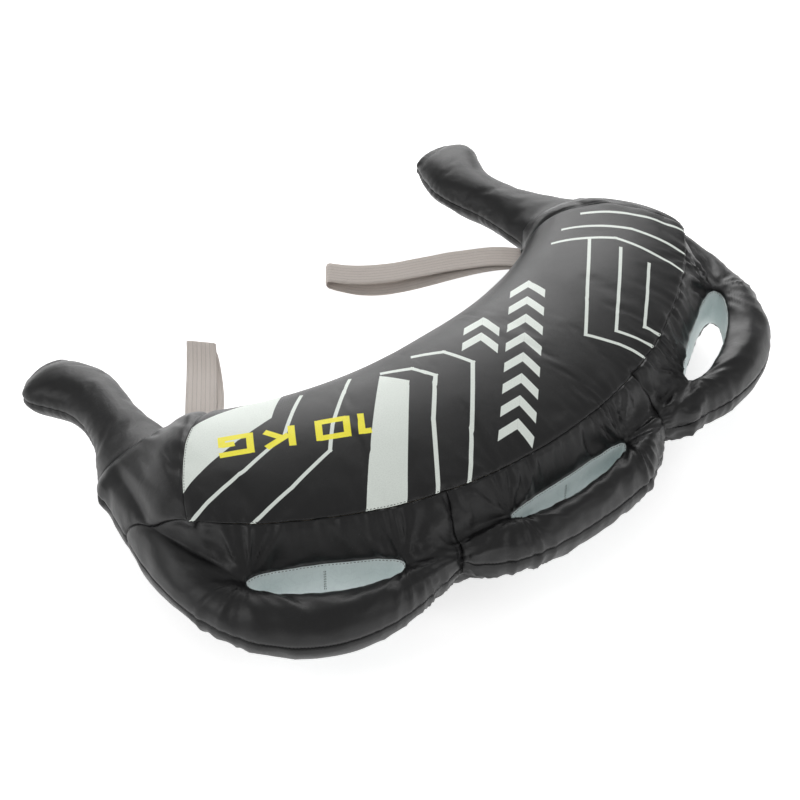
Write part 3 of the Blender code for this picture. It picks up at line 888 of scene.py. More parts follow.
        for level in (1, -1):
            for rib in range(1 - columns, columns - 1):
                for row in range(self.rim_row):
                    near = "outer" if row == self.seam_row else row
                    face = [on_sheet(level, rib, near), on_sheet(level, rib, row + 1),
                            on_sheet(level, rib + 1, row + 1), on_sheet(level, rib + 1, near)]
                    faces.append(face[::level])
                    marks.append(self.panel_at(level, rib, row).value)
        for low, high, panel in self.spans:
            for row, turn in ((self.seam_row, 1), ("outer", -1)):
                previous: List[int] = []
                for rib in range(low, high + 1):
                    top, foot = on_sheet(1, rib, row), on_sheet(-1, rib, row)
                    edge = "tip" if rib in (low, high) else row
                    between = [vertex((0, rib, (edge, step)),
                                      mix(points[top], points[foot], step / self.lining_rows),
                                      LINING_ROW + step) for step in range(1, self.lining_rows)]
                    strand = [top, *between, foot]
                    for step in range(self.lining_rows if previous else 0):
                        face = [previous[step], previous[step + 1], strand[step + 1], strand[step]]
                        faces.append(face[::turn])
                        marks.append(panel.value)
                    previous = strand
        self.item = add_object("skin", np.array(points) + self.plan.shift, faces)
        mesh, tag = self.item.data, np.array(tags, float)
        set_vectors(mesh, "grid", tag)
        set_vectors(mesh, "flat", self.flat_places(tag, grid))
        mesh.polygons.foreach_set("material_index", np.array(marks, np.int32))
        for panel in Skin:
            mesh.materials.append(bpy.data.materials.new(f"mark_{panel.value}"))
        self.fill()
        return self.item

    def slot_spans(self, open_rib: Array) -> List[Tuple[int, int, Skin]]:
        """First and last rib of each slot, with its lining's mark.

        Args:
            open_rib: Mask of the ribs that a slot cuts.

        Returns:
            Spans of ribs.
        """
        cut = np.nonzero(open_rib)[0]
        middle, side = int(cut[cut < self.pinch_rib].max()) + 1, cut[cut > self.pinch_rib]
        low, high = int(side.min()) - 1, int(side.max()) + 1
        return [(-middle, middle, Skin.MIDDLE_LINING), (low, high, Skin.RIGHT_LINING),
                (-high, -low, Skin.LEFT_LINING)]

    def panel_at(self, level: int, rib: int, row: int) -> Skin:
        """Panel of the face that starts at a rib and a row.

        Args:
            level: 1 for the upper sheet, -1 for the lower one.
            rib: First rib of the face.
            row: First row of the face.

        Returns:
            The panel.
        """
        side, word = "RIGHT" if rib > 0 else "LEFT", "UPPER" if level > 0 else "LOWER"
        if rib >= self.end_rib or rib < -self.end_rib:
            return Skin[f"{side}_END_{word}"]
        if row < self.top_rows:
            return Skin.PRINTED_TOP if level > 0 else Skin.BOTTOM
        if -self.pinch_rib <= rib < self.pinch_rib:
            side = "MIDDLE"
        return Skin[f"{side}_HANDLE_{word}"]

    def flat_places(self, tag: Array, grid: Array) -> Array:
        """Where each grid point lies on the flat cloth, before it was sewn, from the arc's centre.

        Args:
            tag: Rib, row and level of each vertex.
            grid: Points of the half sheet.

        Returns:
            Points (n, 3).
        """
        steps = np.linalg.norm(np.diff(grid, axis=1), axis=2)
        run = np.concatenate([np.zeros((len(grid), 1)), np.cumsum(steps, 1)], 1)
        out = run - run[:, self.top_rows][:, None]
        rib = np.abs(tag[:, 0]).astype(int)
        row = np.clip(np.floor(tag[:, 1]), 0, self.rim_row).astype(int)
        angle = self.angles[np.minimum(rib, self.end_rib)]
        place = polar(self.plan.arc_radius + out[rib, row], angle)
        past_end = np.linalg.norm(grid[rib, row] - grid[self.end_rib, row], axis=1)
        past_end = np.where(rib > self.end_rib, past_end, 0.0)
        place += np.stack([np.cos(angle), np.sin(angle), 0 * angle], 1) * past_end[:, None]
        place[:, 0] *= np.where(tag[:, 0] < 0, -1, 1)
        return place

    def chains(self, mesh: Mesh) -> Dict[str, List[Array]]:
        """Lines of the skin that are sewn, as they lie now.

        Args:
            mesh: The skin's mesh.

        Returns:
            Point lines by name.
        """
        places, (rib, row, level) = points_of(mesh), get_vectors(mesh, "grid").T
        last, rows, near = self.end_rib, self.rim_row, 1e-3

        def chain(mask: Array, order: Array) -> Array:
            """Places of the vertices in a mask, in a rising order."""
            index = np.nonzero(mask)[0]
            return places[index[np.argsort(order[index], kind="stable")]]

        lines: Dict[str, List[Array]] = defaultdict(list)
        lines["rim"].append(chain(np.abs(row - rows) < near, rib))
        lines["bay"].append(chain(row < near, rib))
        inside, body = np.abs(rib) < last + near, row < rows + 0.01
        for name, sign in (("edge", 1), ("under_edge", -1)):
            mask = (np.abs(row - self.top_rows) < near) & (level * sign > 0.99) & inside
            lines[name].append(chain(mask, rib))
        round_order = np.where(level > 0, row, 2 * rows - row)
        for sign in (-1, 1):
            lines["end"].append(chain((np.abs(rib - sign * last) < near) & body, round_order))
            mask = (np.abs(rib) > last + self.end_steps - near) & (rib * sign > 0)
            lines["mouth"].append(chain(mask, round_order))
            mask = (np.abs(rib - sign * self.pinch_rib) < near) & body & (row > self.top_rows - near)
            lines["notch"].append(chain(mask, round_order))
            lines["pinch"].append(chain(mask & (np.abs(row - rows) < near), round_order))
        for low, high, _ in self.spans:
            reached, within = ((rib > low - gap) & (rib < high + gap) for gap in (near, -near))
            for name, sign in (("slot", 1), ("slot_under", -1)):
                facing, past = level * sign > 0.99, row - self.seam_row
                inner = chain((np.abs(past) < near) & reached & facing, rib)
                outer = chain((past > 0.2) & (past < 0.55) & within & facing, -rib)
                lines[name].append(np.concatenate([inner, outer, inner[:1]]))
                lines["tips"] += [inner[:1], inner[-1:]]
            middle = (np.abs(rib - (low + high) // 2) < near) & (row > LINING_ROW - 1)
            radius = np.hypot(*(places[:, :2] - self.plan.shift[:2]).T)
            far = middle & (radius > np.mean(radius[middle]))
            lines["lining_seam"] += [chain(middle & ~far, row), chain(far, row)]
        return lines

    def gathered(self, mesh: Mesh, gathers: Sequence[Tuple[str, SeamGather]],
                 stars: Sequence[StarFold]) -> Array:
        """How far each vertex stands out where seams gather the cloth.

        Args:
            mesh: The skin's mesh.
            gathers: Names of lines, with how the cloth gathers along them.
            stars: Folds that spread from the slots' tips and the notches.

        Returns:
            Heights along the normals.
        """
        taut_share, lip_share, handle_share, body_share, notch_folds = 0.22, 0.15, 0.5, 1.5, 13.0
        places, lines, tag = points_of(mesh), self.chains(mesh), get_vectors(mesh, "grid")
        height, lip = np.zeros(len(places)), np.full(len(places), 1.0)
        taut = (tag[:, 1] < self.top_rows + 0.01) & (np.abs(tag[:, 0]) < self.end_rib + 0.01)
        on_tip = np.where(tag[:, 1] > self.seam_row + 0.3, handle_share, body_share)
        for name, gather in gathers:
            share = np.where(taut, taut_share, 1.0) if name in ("edge", "end") else 1.0
            for number, line in enumerate(lines[name]):
                distance, run = nearest(places, line)
                lip = np.minimum(lip, distance) if name in ("slot", "slot_under") else lip
                height += share * gather.height_at(distance, run, number)
        clear = np.clip(lip / 0.005, lip_share, 1.0)
        for star in stars:
            for number, tip in enumerate(lines["tips"] + lines["pinch"]):
                share = on_tip if number < len(lines["tips"]) else notch_folds / star.folds
                height += share * clear * star.height_at(places - tip[0], number)
        return height

    def fill(self) -> None:
        """Seed the folds, run the cloth, and pucker the finer skin along its seams."""
        rest_height, firm_height, taut_share, handle_share, lining_share = 0.0016, 0.004, 0.3, 0.5, 0.6
        mesh, last, places = self.item.data, self.end_rib, points_of(self.item.data)
        signed, row, level = get_vectors(mesh, "grid").T
        rib, lining, lower = np.abs(signed), row > LINING_ROW - 1, level < 0
        on_slot = np.zeros(len(row), bool)
        for low, high, _ in self.spans:
            tip = (signed == low) | (signed == high)
            lip = (row == self.seam_row) | (row == self.seam_row + 0.5)
            on_slot |= (signed >= low) & (signed <= high) & (lip | lining & tip)
        floor = lower & (places[:, 2] < rest_height) & ~lining
        held = (row == self.rim_row) | (row == 0) | on_slot | floor | (rib == last + self.end_steps)
        seams = ((row == self.top_rows) & (rib <= last)) | (rib == last)
        seams |= (rib == self.pinch_rib) & (row >= self.top_rows) & ~lining
        firm = held | seams | lining | lower & (places[:, 2] < firm_height)
        for _ in range(self.softening):
            places = np.where(firm[:, None], places, smoothed(mesh, places, 1))
        tips = np.concatenate(self.chains(mesh)["tips"])
        reach = np.linalg.norm(places[:, None, :2] - tips[None, :, :2], axis=2).min(1)
        wall = (row > self.top_rows) & (row < self.seam_row) & (reach < self.tip_reach)
        for _ in range(self.tip_softening):
            places = np.where(wall[:, None], smoothed(mesh, places, 1), places)
        move_points(mesh, places)
        seeds = self.gathered(mesh, self.seeds, self.stars)
        seeds[held | lining] = 0.0
        move_points(mesh, places + normals_of(mesh) * seeds[:, None])
        freedom = np.where(row > self.seam_row, handle_share, 1.0)
        freedom = np.where((row < self.top_rows) & (rib < last), taut_share, freedom)
        freedom = smoothed(mesh, freedom[:, None], 4)[:, 0]
        self.cloth.settle(self.item, held, seams.astype(float), freedom)
        refine(self.item, 1)
        mesh = self.item.data
        height = self.gathered(mesh, self.puckers, self.fine_stars)
        height[get_vectors(mesh, "grid")[:, 1] > self.rim_row + 1] *= lining_share
        places = self.pressed(points_of(mesh) + normals_of(mesh) * height[:, None])
        touch, squash, height = 0.0012, 0.3, places[:, 2]
        places[:, 2] = np.where(height < touch, FLOOR_GAP + squash * np.maximum(height, 0), height)
        move_points(mesh, places)
        LOG.info("skin: %d vertices", len(places))

    def pressed(self, places: Array) -> Array:
        """Press the cloth in over each strap's root, so that the strap can stand up.

        Args:
            places: The skin's points.

        Returns:
            The points, pressed in.
        """
        half_width, fade, rise, deepest, highest = 0.022, 0.006, 0.004, -0.02, 0.06
        seam, across, outward = self.plan.strap_root()
        for side in Side:
            mirror = np.array([side.value, 1, 1])
            offset = (places - self.plan.shift) * mirror - seam
            along, out, up = offset @ across, offset @ outward, offset[:, 2]
            near = ease((half_width - np.abs(along)) / fade) * ease(up / rise)
            near *= (out > deepest) & (up < highest)
            places = places - outward * mirror * (np.maximum(out + self.root_press, 0) * near)[:, None]
        return places

    def cut(self) -> Dict[Skin, Object]:
        """Cut the skin apart into its panels, each with its edge turned in.

        Returns:
            The panels.
        """
        panels = {panel: turned_in(f"{panel.name.lower()}_cloth", self.item.data, panel.value,
                                   self.hem + HEM_STEP * (panel.value % 3)) for panel in Skin}
        bpy.data.objects.remove(self.item)
        self.item = None
        return panels


# Horn grips

@dataclass
class HornGrip:
    """A padded horn grip that bends at its crease."""

    plan: CrescentPlan
    side: Side
    rings: int = 46  # steps along the grip
    around: int = 44  # steps round it
    root_rings: int = 5  # rings of its rounded root
    root_depth: float = 0.018  # how far that root reaches into the bag
    round_from: float = 0.93  # share of its length where the tip's rounding starts
    round_share: float = 0.07  # share of its length that is rounded
    droop: float = radians(4.0)  # how much lower the left grip hangs
    hem: float = 0.0022  # depth of a cover's turned-in edge
    shares: Tuple[Tuple[float, float, float, float], ...] = (  # place, sideways shift, width, height
        (0.0, 0.0, 1.0, 1.0), (0.052, -0.024, 0.930, 0.925), (0.122, -0.065, 0.850, 0.870),
        (0.244, -0.141, 0.694, 0.850), (0.366, -0.194, 0.612, 0.840), (0.488, -0.241, 0.607, 0.840),
        (0.610, -0.256, 0.654, 0.860), (0.732, -0.206, 0.753, 0.880), (0.823, -0.141, 0.788, 0.830),
        (0.915, -0.124, 0.682, 0.620), (0.965, -0.159, 0.460, 0.370), (1.0, -0.182, 0.02, 0.02),
    )
    cloth: ClothRun = field(default_factory=lambda: ClothRun(18, 3.0, 0.015, 0.0, 0.004, 0.8))
    gather: SeamGather = SeamGather(0.0095, 0.0004, 0.009, 0.0014, 0.0026, 0.6, 61)

    def turned(self, places: Array) -> Array:
        """Move the grip to the part's own origin, with the left grip's droop.

        Args:
            places: Places from the arc's centre.

        Returns:
            The moved places.
        """
        pivot = self.plan.crease_centre * np.array([self.side.value, 1, 1])
        if self.side is Side.LEFT:
            turn = np.array(Matrix.Rotation(-self.droop, 3, "X"))
            places = (places - pivot) @ turn.T + pivot
        return places + self.plan.shift

    def surface(self) -> Tuple[Array, Array]:
        """Rings of the grip, and the length along and the turn of each point.

        Returns:
            Points (rings, around, 3) and (rings, around, 2).
        """
        plan, table = self.plan, np.array(self.shares)
        half_width, half_height = plan.grip_root_width / 2, plan.grip_root_height / 2
        root = -np.linspace(self.root_depth, 0.003, self.root_rings)
        even = np.linspace(0, 1, self.rings)
        along = np.concatenate([root / plan.grip_length, mix(even, np.sin(pi / 2 * even), 0.35)])
        tip = np.clip((along - self.round_from) / self.round_share, 0, 1)
        round_end, end_share = np.sqrt(np.maximum(1 - tip**2, 0.0)), 0.008
        inside = np.sqrt(np.maximum(1 - (along * plan.grip_length / half_height)**2, 0))
        shift, width, height = (smooth_through(table[:, 0], table[:, column], np.maximum(along, 0))
                                for column in (1, 2, 3))
        sizes = []
        for size in (width, height):
            start = size[np.searchsorted(along, self.round_from)]
            size = np.where(along > self.round_from, start * round_end + end_share, size)
            sizes.append(np.where(along < 0, inside, size)[:, None])
        turn = 2 * pi * np.arange(self.around) / self.around
        flat_side = np.sign(np.sin(turn)) * np.abs(np.sin(turn)) ** 0.92
        x = (shift * plan.grip_root_width)[:, None] + half_width * sizes[0] * np.cos(turn)
        y = np.repeat(along[:, None] * plan.grip_length, self.around, 1)
        z = half_height * sizes[1] * flat_side
        places = (plan.crease_centre + np.stack([x, y, z], -1)) * np.array([self.side.value, 1, 1])
        return places, np.stack([y, np.repeat(turn[None], len(along), 0)], -1)

    def build(self) -> List[Object]:
        """Draw the grip, fill it, pucker its two seams and cut it into its covers.

        Returns:
            The upper and the lower cover.
        """
        grid, tags = self.surface()
        rings, around = grid.shape[:2]
        number = np.arange(rings * around).reshape(rings, around)
        after = np.roll(number, -1, 1)
        faces = np.stack([number[:-1], after[:-1], after[1:], number[1:]], -1).reshape(-1, 4)
        upper = np.repeat((np.arange(around) < around // 2)[None], rings - 1, 0).ravel()
        item = add_object(f"{self.side.word}_grip_skin", grid.reshape(-1, 3),
                          faces[:, ::-self.side.value])
        along, turn = tags.reshape(-1, 2).T
        set_vectors(item.data, "flat", np.stack([along, turn, 0 * along], 1))
        item.data.polygons.foreach_set("material_index", upper.astype(np.int32))
        for word in ("lower", "upper"):
            item.data.materials.append(bpy.data.materials.new(f"mark_{word}"))
        seam = (np.abs(turn) < 1e-6) | (np.abs(turn - pi) < 1e-6)
        ring = np.repeat(np.arange(rings), around)
        held = (ring < self.root_rings) | (ring == rings - 1)
        seeds = self.seeds(along, turn)[:, None]
        move_points(item.data, points_of(item.data) + normals_of(item.data) * seeds)
        held |= seam & (ring % 3 == 0)
        self.cloth.settle(item, held, seam.astype(float), np.full(len(seam), 0.5))
        refine(item, 2)
        self.pucker(item.data)
        covers = [turned_in(f"{self.side.word}_grip_{word}_cloth", item.data, mark,
                            self.hem + HEM_STEP * mark) for mark, word in ((1, "upper"), (0, "lower"))]
        bpy.data.objects.remove(item)
        return covers

    def seeds(self, along: Array, turn: Array) -> Array:
        """Faint folds laid across the grip before the cloth run.

        Args:
            along: Length along the grip of each point.
            turn: Its turn round the grip.

        Returns:
            Heights along the normals.
        """
        seed = 40 + self.side.value
        broad = wander_field(along / 0.030 + np.sin(turn) * 0.8, turn * 1.3 + 9, seed)
        fine = wander_field(along / 0.013, turn * 1.6 + 3, seed + 1)
        return (0.0004 * broad + 0.0002 * fine) * (
            np.clip(along / 0.01, 0, 1) * np.abs(np.sin(turn)) ** 0.3)

    def pucker(self, mesh: Mesh) -> None:
        """Gather the cloth along both seams and move the grip to its place.

        Args:
            mesh: The grip's mesh.
        """
        places, normals = points_of(mesh), normals_of(mesh)
        along, turn, _ = get_vectors(mesh, "flat").T
        height = np.zeros(len(places))
        for which, at in enumerate((0.0, pi)):
            index = np.nonzero(np.abs(turn - at) < 1e-4)[0]
            distance, run = nearest(places, places[index[np.argsort(along[index])]])
            height += self.gather.height_at(distance, run, which + 2 * self.side.value)
        height *= np.clip((along + 0.002) / 0.01, 0, 1)
        height *= np.clip((self.plan.grip_length - along) / 0.005, 0, 1)
        places = self.turned(places + normals * height[:, None])
        places[:, 2] = np.maximum(places[:, 2], FLOOR_GAP)
        move_points(mesh, places)


# Panels

SEAM_GAP = 0.00035  # how far a panel's edge is drawn back from its seam
HEM_STEP = 0.0004  # by which neighbouring hems differ in depth
FLOOR_GAP = 0.0004  # least height of the cloth over the floor


def turned_in(name: str, mesh: Mesh, mark: int, depth: float) -> Object:
    """A panel made of some faces of a skin, with its edge turned in.

    Args:
        name: Name of the piece.
        mesh: The skin's mesh.
        mark: Material number of the faces that it takes.
        depth: How deep the edge is turned in.

    Returns:
        The panel.
    """
    places, normals, flat = points_of(mesh), normals_of(mesh), get_vectors(mesh, "flat")
    corners, marks = np.empty(len(mesh.loops), np.int32), np.empty(len(mesh.polygons), np.int32)
    mesh.loops.foreach_get("vertex_index", corners)
    mesh.polygons.foreach_get("material_index", marks)
    used, inverse = np.unique(corners.reshape(-1, 4)[marks == mark], return_inverse=True)
    local = inverse.reshape(-1, 4)
    edges = np.stack([local, np.roll(local, -1, 1)], -1).reshape(-1, 2)
    known = set(map(tuple, edges.tolist()))
    border = [edge for edge in known if (edge[1], edge[0]) not in known]
    rim = np.unique(np.array(border))
    inward = np.zeros((len(used), 3))
    spots = places[used]
    for corner in range(4):
        np.add.at(inward, local[:, corner], spots[local].mean(1) - spots[local[:, corner]])
    places[used[rim]] += unit(inward[rim]) * SEAM_GAP
    turned = np.full(len(used), -1)
    turned[rim] = len(used) + np.arange(len(rim))
    hem = places[used[rim]] - normals[used[rim]] * depth
    hem[:, 2] = np.maximum(hem[:, 2], FLOOR_GAP)
    hem_faces = [[b, a, turned[a], turned[b]] for a, b in border]
    item = add_object(name, np.concatenate([places[used], hem]), local.tolist() + hem_faces)
    set_vectors(item.data, "flat", np.concatenate([flat[used], flat[used[rim]]]))
    return item


# Fillings

@dataclass(frozen=True)
class Filling:
    """A pouch, roll or core inside the skin, drawn in so that the creased cloth clears it."""

    node: str  # the solid that it stands for
    draw: float = 0.0035  # how far its surface is drawn in
    clear: float = 0.0025  # least depth under the creased cover

    def build(self, cover: Optional[BVHTree] = None) -> Object:
        """A softened copy of the solid, pressed in wherever the cover creases.

        Args:
            cover: The cover's surface.

        Returns:
            The filling.
        """
        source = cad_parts[self.node].data
        faces = [list(face.vertices) for face in source.polygons]
        places = points_of(source)
        _, first, same = np.unique(np.round(places, 6), axis=0, return_index=True, return_inverse=True)
        same = same.ravel()
        faces = [list(dict.fromkeys(int(same[v]) for v in face)) for face in faces]
        item = add_object(f"{self.node}_fill", places[first], [f for f in faces if len(f) > 2])
        move_points(item.data, points_of(item.data) - normals_of(item.data) * self.draw)
        refine(item, 1)
        places = points_of(item.data)
        for number, place in enumerate(places if cover else ()):
            near, normal, _, _ = cover.find_nearest(Vector(place))
            if (near - Vector(place)).dot(normal) < self.clear:
                places[number] = near - normal * self.clear
        move_points(item.data, places)
        return item


# Webbing

@dataclass
class StrapLoop:
    """A flat loop of webbing, both ends caught in the seam beside the grip."""

    plan: CrescentPlan
    side: Side
    width: float = 0.028
    length: float = 0.188
    slant: float = radians(12.8)  # how far it leans towards the middle
    clearance: float = 0.0006  # to the floor
    thick: float = 0.0015
    loop_height: float = 0.0090  # height of the fold at the tip
    root_radius: float = 0.0009  # of the fold in the seam
    stagger: float = 0.0065  # how far the lower layer lies beside the upper one
    steps: int = 70  # along one layer
    across: int = 12  # steps across the webbing

    def middle_line(self) -> Array:
        """The loop seen from its edge: distance from the hinge and height over the seam plane.

        Returns:
            Points (n, 2), a closed line.
        """
        tip = self.loop_height / 2
        lowest = self.clearance + self.thick / 2 - self.plan.seam_plane
        reach = self.length - tip
        turn = pi * (1.5 - np.arange(8) / 8)
        root = np.stack([self.root_radius * np.cos(turn), self.root_radius * np.sin(turn)], 1)
        share = np.arange(self.steps) / self.steps
        upper = mix(self.root_radius, lowest + self.loop_height, ease(share / 0.95))
        upper = upper + 0.0009 * np.sin(pi * share) * (wander(share * 5, 8 + self.side.value) + 0.6)
        there = np.stack([reach * share, upper], 1)
        turn = pi * (0.5 - np.arange(14) / 14)
        fold = np.stack([reach + tip * np.cos(turn), lowest + tip + tip * np.sin(turn)], 1)
        share = 1 - share
        back = np.stack([reach * share, mix(-self.root_radius, lowest, ease(share / 0.90))], 1)
        return np.concatenate([root, there, fold, back])

    def build(self) -> Object:
        """Sweep the webbing's rounded section along the loop.

        Returns:
            The webbing.
        """
        plan = self.plan
        seam, across, outward = plan.strap_root()
        hinge = seam + outward * (0.0003 + self.root_radius + self.thick / 2)
        running = outward * cos(self.slant) + across * sin(self.slant)
        line = self.middle_line()
        ahead = unit(np.pad(np.roll(line, -1, 0) - np.roll(line, 1, 0), ((0, 0), (0, 1))))
        face = np.stack([-ahead[:, 1], ahead[:, 0]], 1)
        even = np.linspace(-1, 1, self.across + 1)
        half = self.thick / 2
        top = np.stack([even * self.width / 2, half * np.sqrt(1 - 0.9 * even**12)], 1)
        section = np.concatenate([top, top[::-1] * np.array([1, -1])])
        run = run_of(line)
        edge = 1 + 0.010 * wander(run / 0.02, 3)[:, None] * np.abs(section[None, :, 0]) / self.width
        places = hinge + running * (line[:, None, :1] + face[:, None, :1] * section[None, :, 1:])
        places = places + across * (section[None, :, :1] * edge[..., None])
        beside = np.zeros(len(line))
        beside[-self.steps:] = self.stagger * np.sin(pi * np.arange(self.steps) / self.steps) ** 0.6
        places = places - across * beside[:, None, None]
        places[..., 2] += line[:, None, 1] + face[:, None, 1] * section[None, :, 1]
        places = places * np.array([self.side.value, 1, 1]) + plan.shift
        places[..., 2] = np.maximum(places[..., 2], self.clearance / 2)
        count, ring = places.shape[:2]
        number = np.arange(count * ring).reshape(count, ring)
        next_row, next_ring = np.roll(number, -1, 0), np.roll(number, -1, 1)
        faces = np.stack([number, next_ring, np.roll(next_row, -1, 1), next_row], -1).reshape(-1, 4)
        item = add_object(f"{self.side.word}_webbing", places.reshape(-1, 3),
                          faces[:, ::-self.side.value])
        band = np.stack([np.repeat(run[:, None], ring, 1), np.repeat(section[None, :, 0], count, 0),
                         np.repeat(section[None, :, 1], count, 0)], -1)
        set_vectors(item.data, "flat", band.reshape(-1, 3))
        return item


# Stitches

@dataclass
class Stitching:
    """Thread stitches beside the seams, laid on the creased cloth."""

    pitch: float = 0.0029  # from one stitch to the next
    length: float = 0.0022
    thread: float = 0.00055  # its width
    inset: float = 0.0013  # from the seam

    def spots(self, line: Array) -> Tuple[Array, Array]:
        """Middle and direction of each stitch along a seam.

        Args:
            line: The seam.

        Returns:
            Places and directions.
        """
        at = np.arange(self.pitch, run_of(line)[-1] - self.pitch, self.pitch)
        here, there = (places_along(line, at + step) for step in (-self.pitch, self.pitch))
        return (here + there) / 2, unit(there - here)

    def build(self, name: str, skin: BVHTree, seams: Sequence[Tuple[Array, float]]) -> Object:
        """Lay stitches along seams.

        Args:
            name: Name of the piece.
            skin: The creased skin.
            seams: Lines, each with the side that its stitches lie on.

        Returns:
            All stitches as one piece.
        """
        points: List[Vector] = []
        faces: List[List[int]] = []
        half, thick = self.length / 2, self.thread / 2
        for line, side in seams:
            for place, ahead in zip(*self.spots(line)):
                near, normal, _, _ = skin.find_nearest(Vector(place))
                beside = normal.cross(Vector(ahead)).normalized() * (self.inset * side)
                spot, normal, _, _ = skin.find_nearest(near + beside)
                along = (Vector(ahead) - normal * normal.dot(Vector(ahead))).normalized()
                wide = normal.cross(along)
                first = len(points)
                points.append(spot - along * half - normal * thick / 2)
                for shift in (-0.55, 0.55):
                    middle = spot + along * (half * shift)
                    points += [middle - wide * thick, middle + normal * thick, middle + wide * thick]
                points.append(spot + along * half - normal * thick / 2)
                shape = ([0, 2, 1], [0, 3, 2], [1, 2, 5, 4], [2, 3, 6, 5], [4, 5, 7], [5, 6, 7])
                faces += [[first + corner for corner in face] for face in shape]
        item = add_object(name, np.array(points), faces)
        set_vectors(item.data, "flat", np.array(points))
        return item


# Materials

class NodeSheet:
    """Short hand for laying nodes in one tree."""

    def __init__(self, tree: NodeTree) -> None:
        """Keep the tree, a material's or a group's."""
        self.tree = tree

    def add(self, kind: str, **settings: object) -> Node:
        """Add a node and set its properties.

        Args:
            kind: Blender's name of the node, without its prefix.
            settings: Properties.

        Returns:
            The node.
        """
        node = self.tree.nodes.new("ShaderNode" + kind)
        set_all(node, **settings)
        node.location = (len(self.tree.nodes) % 12 * 180, -(len(self.tree.nodes) // 12) * 220)
        return node

    def feed(self, socket: NodeSocket, source: object) -> None:
        """Link a socket, or set its value.

        Args:
            socket: An input.
            source: The output that it takes, or its value.
        """
        if isinstance(source, NodeSocket):
            self.tree.links.new(source, socket)
        else:
            socket.default_value = source

    def fill(self, node: Node, **values: object) -> Node:
        """Feed several inputs of a node by name.

        Args:
            node: The node.
            values: Its inputs, with underscores for spaces.

        Returns:
            The node.
        """
        for key, value in values.items():
            self.feed(node.inputs[key.replace("_", " ")], value)
        return node

    def line_up(self, node: Node, *values: object) -> NodeSocket:
        """Feed a node's inputs in their order.

        Args:
            node: The node.
            values: Sockets or values.

        Returns:
            Its first output.
        """
        for socket, value in zip(node.inputs, values):
            self.feed(socket, value)
        return node.outputs[0]

    def math(self, operation: str, *values: object, clamp: bool = False) -> NodeSocket:
        """A Math node, with its result held within 0..1 if clamp is set."""
        return self.line_up(self.add("Math", operation=operation, use_clamp=clamp), *values)

    def times(self, first: object, second: object) -> NodeSocket:
        """Product of two numbers."""
        return self.math("MULTIPLY", first, second)

    def span(self, source: NodeSocket, low: object, high: object, *ends: float) -> NodeSocket:
        """A Map Range node: low becomes the first end and high the second, 0 and 1 if none are given."""
        return self.line_up(self.add("MapRange"), source, low, high, *ends)

    def noise(self, place: NodeSocket, scale: object, detail: float = 2.0,
              distortion: object = 0.0) -> NodeSocket:
        """A Noise texture's value.

        Args:
            place: Coordinates.
            scale: Waves per metre.
            detail: Layers.
            distortion: How much it is bent.

        Returns:
            Its value.
        """
        node = self.fill(self.add("TexNoise"), Vector=place, Scale=scale, Detail=detail,
                         Distortion=distortion)
        return node.outputs["Fac"]

    def colours(self, share: object, first: object, second: object) -> NodeSocket:
        """Blend of two colours.

        Args:
            share: How much of the second.
            first: First colour.
            second: Second colour.

        Returns:
            The colour.
        """
        node = self.add("Mix", data_type="RGBA")
        for index, value in ((0, share), (6, first), (7, second)):
            self.feed(node.inputs[index], value)
        return node.outputs[2]

    def axes(self, vector: NodeSocket) -> Sequence[NodeSocket]:
        """X, Y and Z of a vector."""
        return self.fill(self.add("SeparateXYZ"), Vector=vector).outputs

    def flat_place(self) -> NodeSocket:
        """Place on the flat cloth, as it is stored in the mesh."""
        return self.add("Attribute", attribute_name="flat").outputs["Vector"]

    def bump(self, height: NodeSocket, distance: float, strength: float = 1.0,
             ground: Optional[NodeSocket] = None) -> NodeSocket:
        """A Bump node.

        Args:
            height: What is raised.
            distance: Its height in metres.
            strength: Share of it that shows.
            ground: Normal that it stands on, if it isn't the mesh's own.

        Returns:
            The normal.
        """
        node = self.fill(self.add("Bump"), Height=height, Distance=distance, Strength=strength)
        if ground is not None:
            self.feed(node.inputs["Normal"], ground)
        return node.outputs["Normal"]

    def use(self, group: NodeTree, **values: object) -> Dict[str, NodeSocket]:
        """Place a group.

        Args:
            group: The group.
            values: Its inputs, with underscores for spaces.

        Returns:
            Its outputs by name.
        """
        node = self.fill(self.add("Group", node_tree=group), **values)
        return {socket.name: socket for socket in node.outputs}


def new_material(name: str) -> Tuple[Material, NodeSheet, Node]:
    """A new material.

    Args:
        name: Its name.

    Returns:
        The material, its sheet and its shader.
    """
    material = bpy.data.materials.new(name)
    material.use_nodes = True
    return material, NodeSheet(material.node_tree), material.node_tree.nodes["Principled BSDF"]


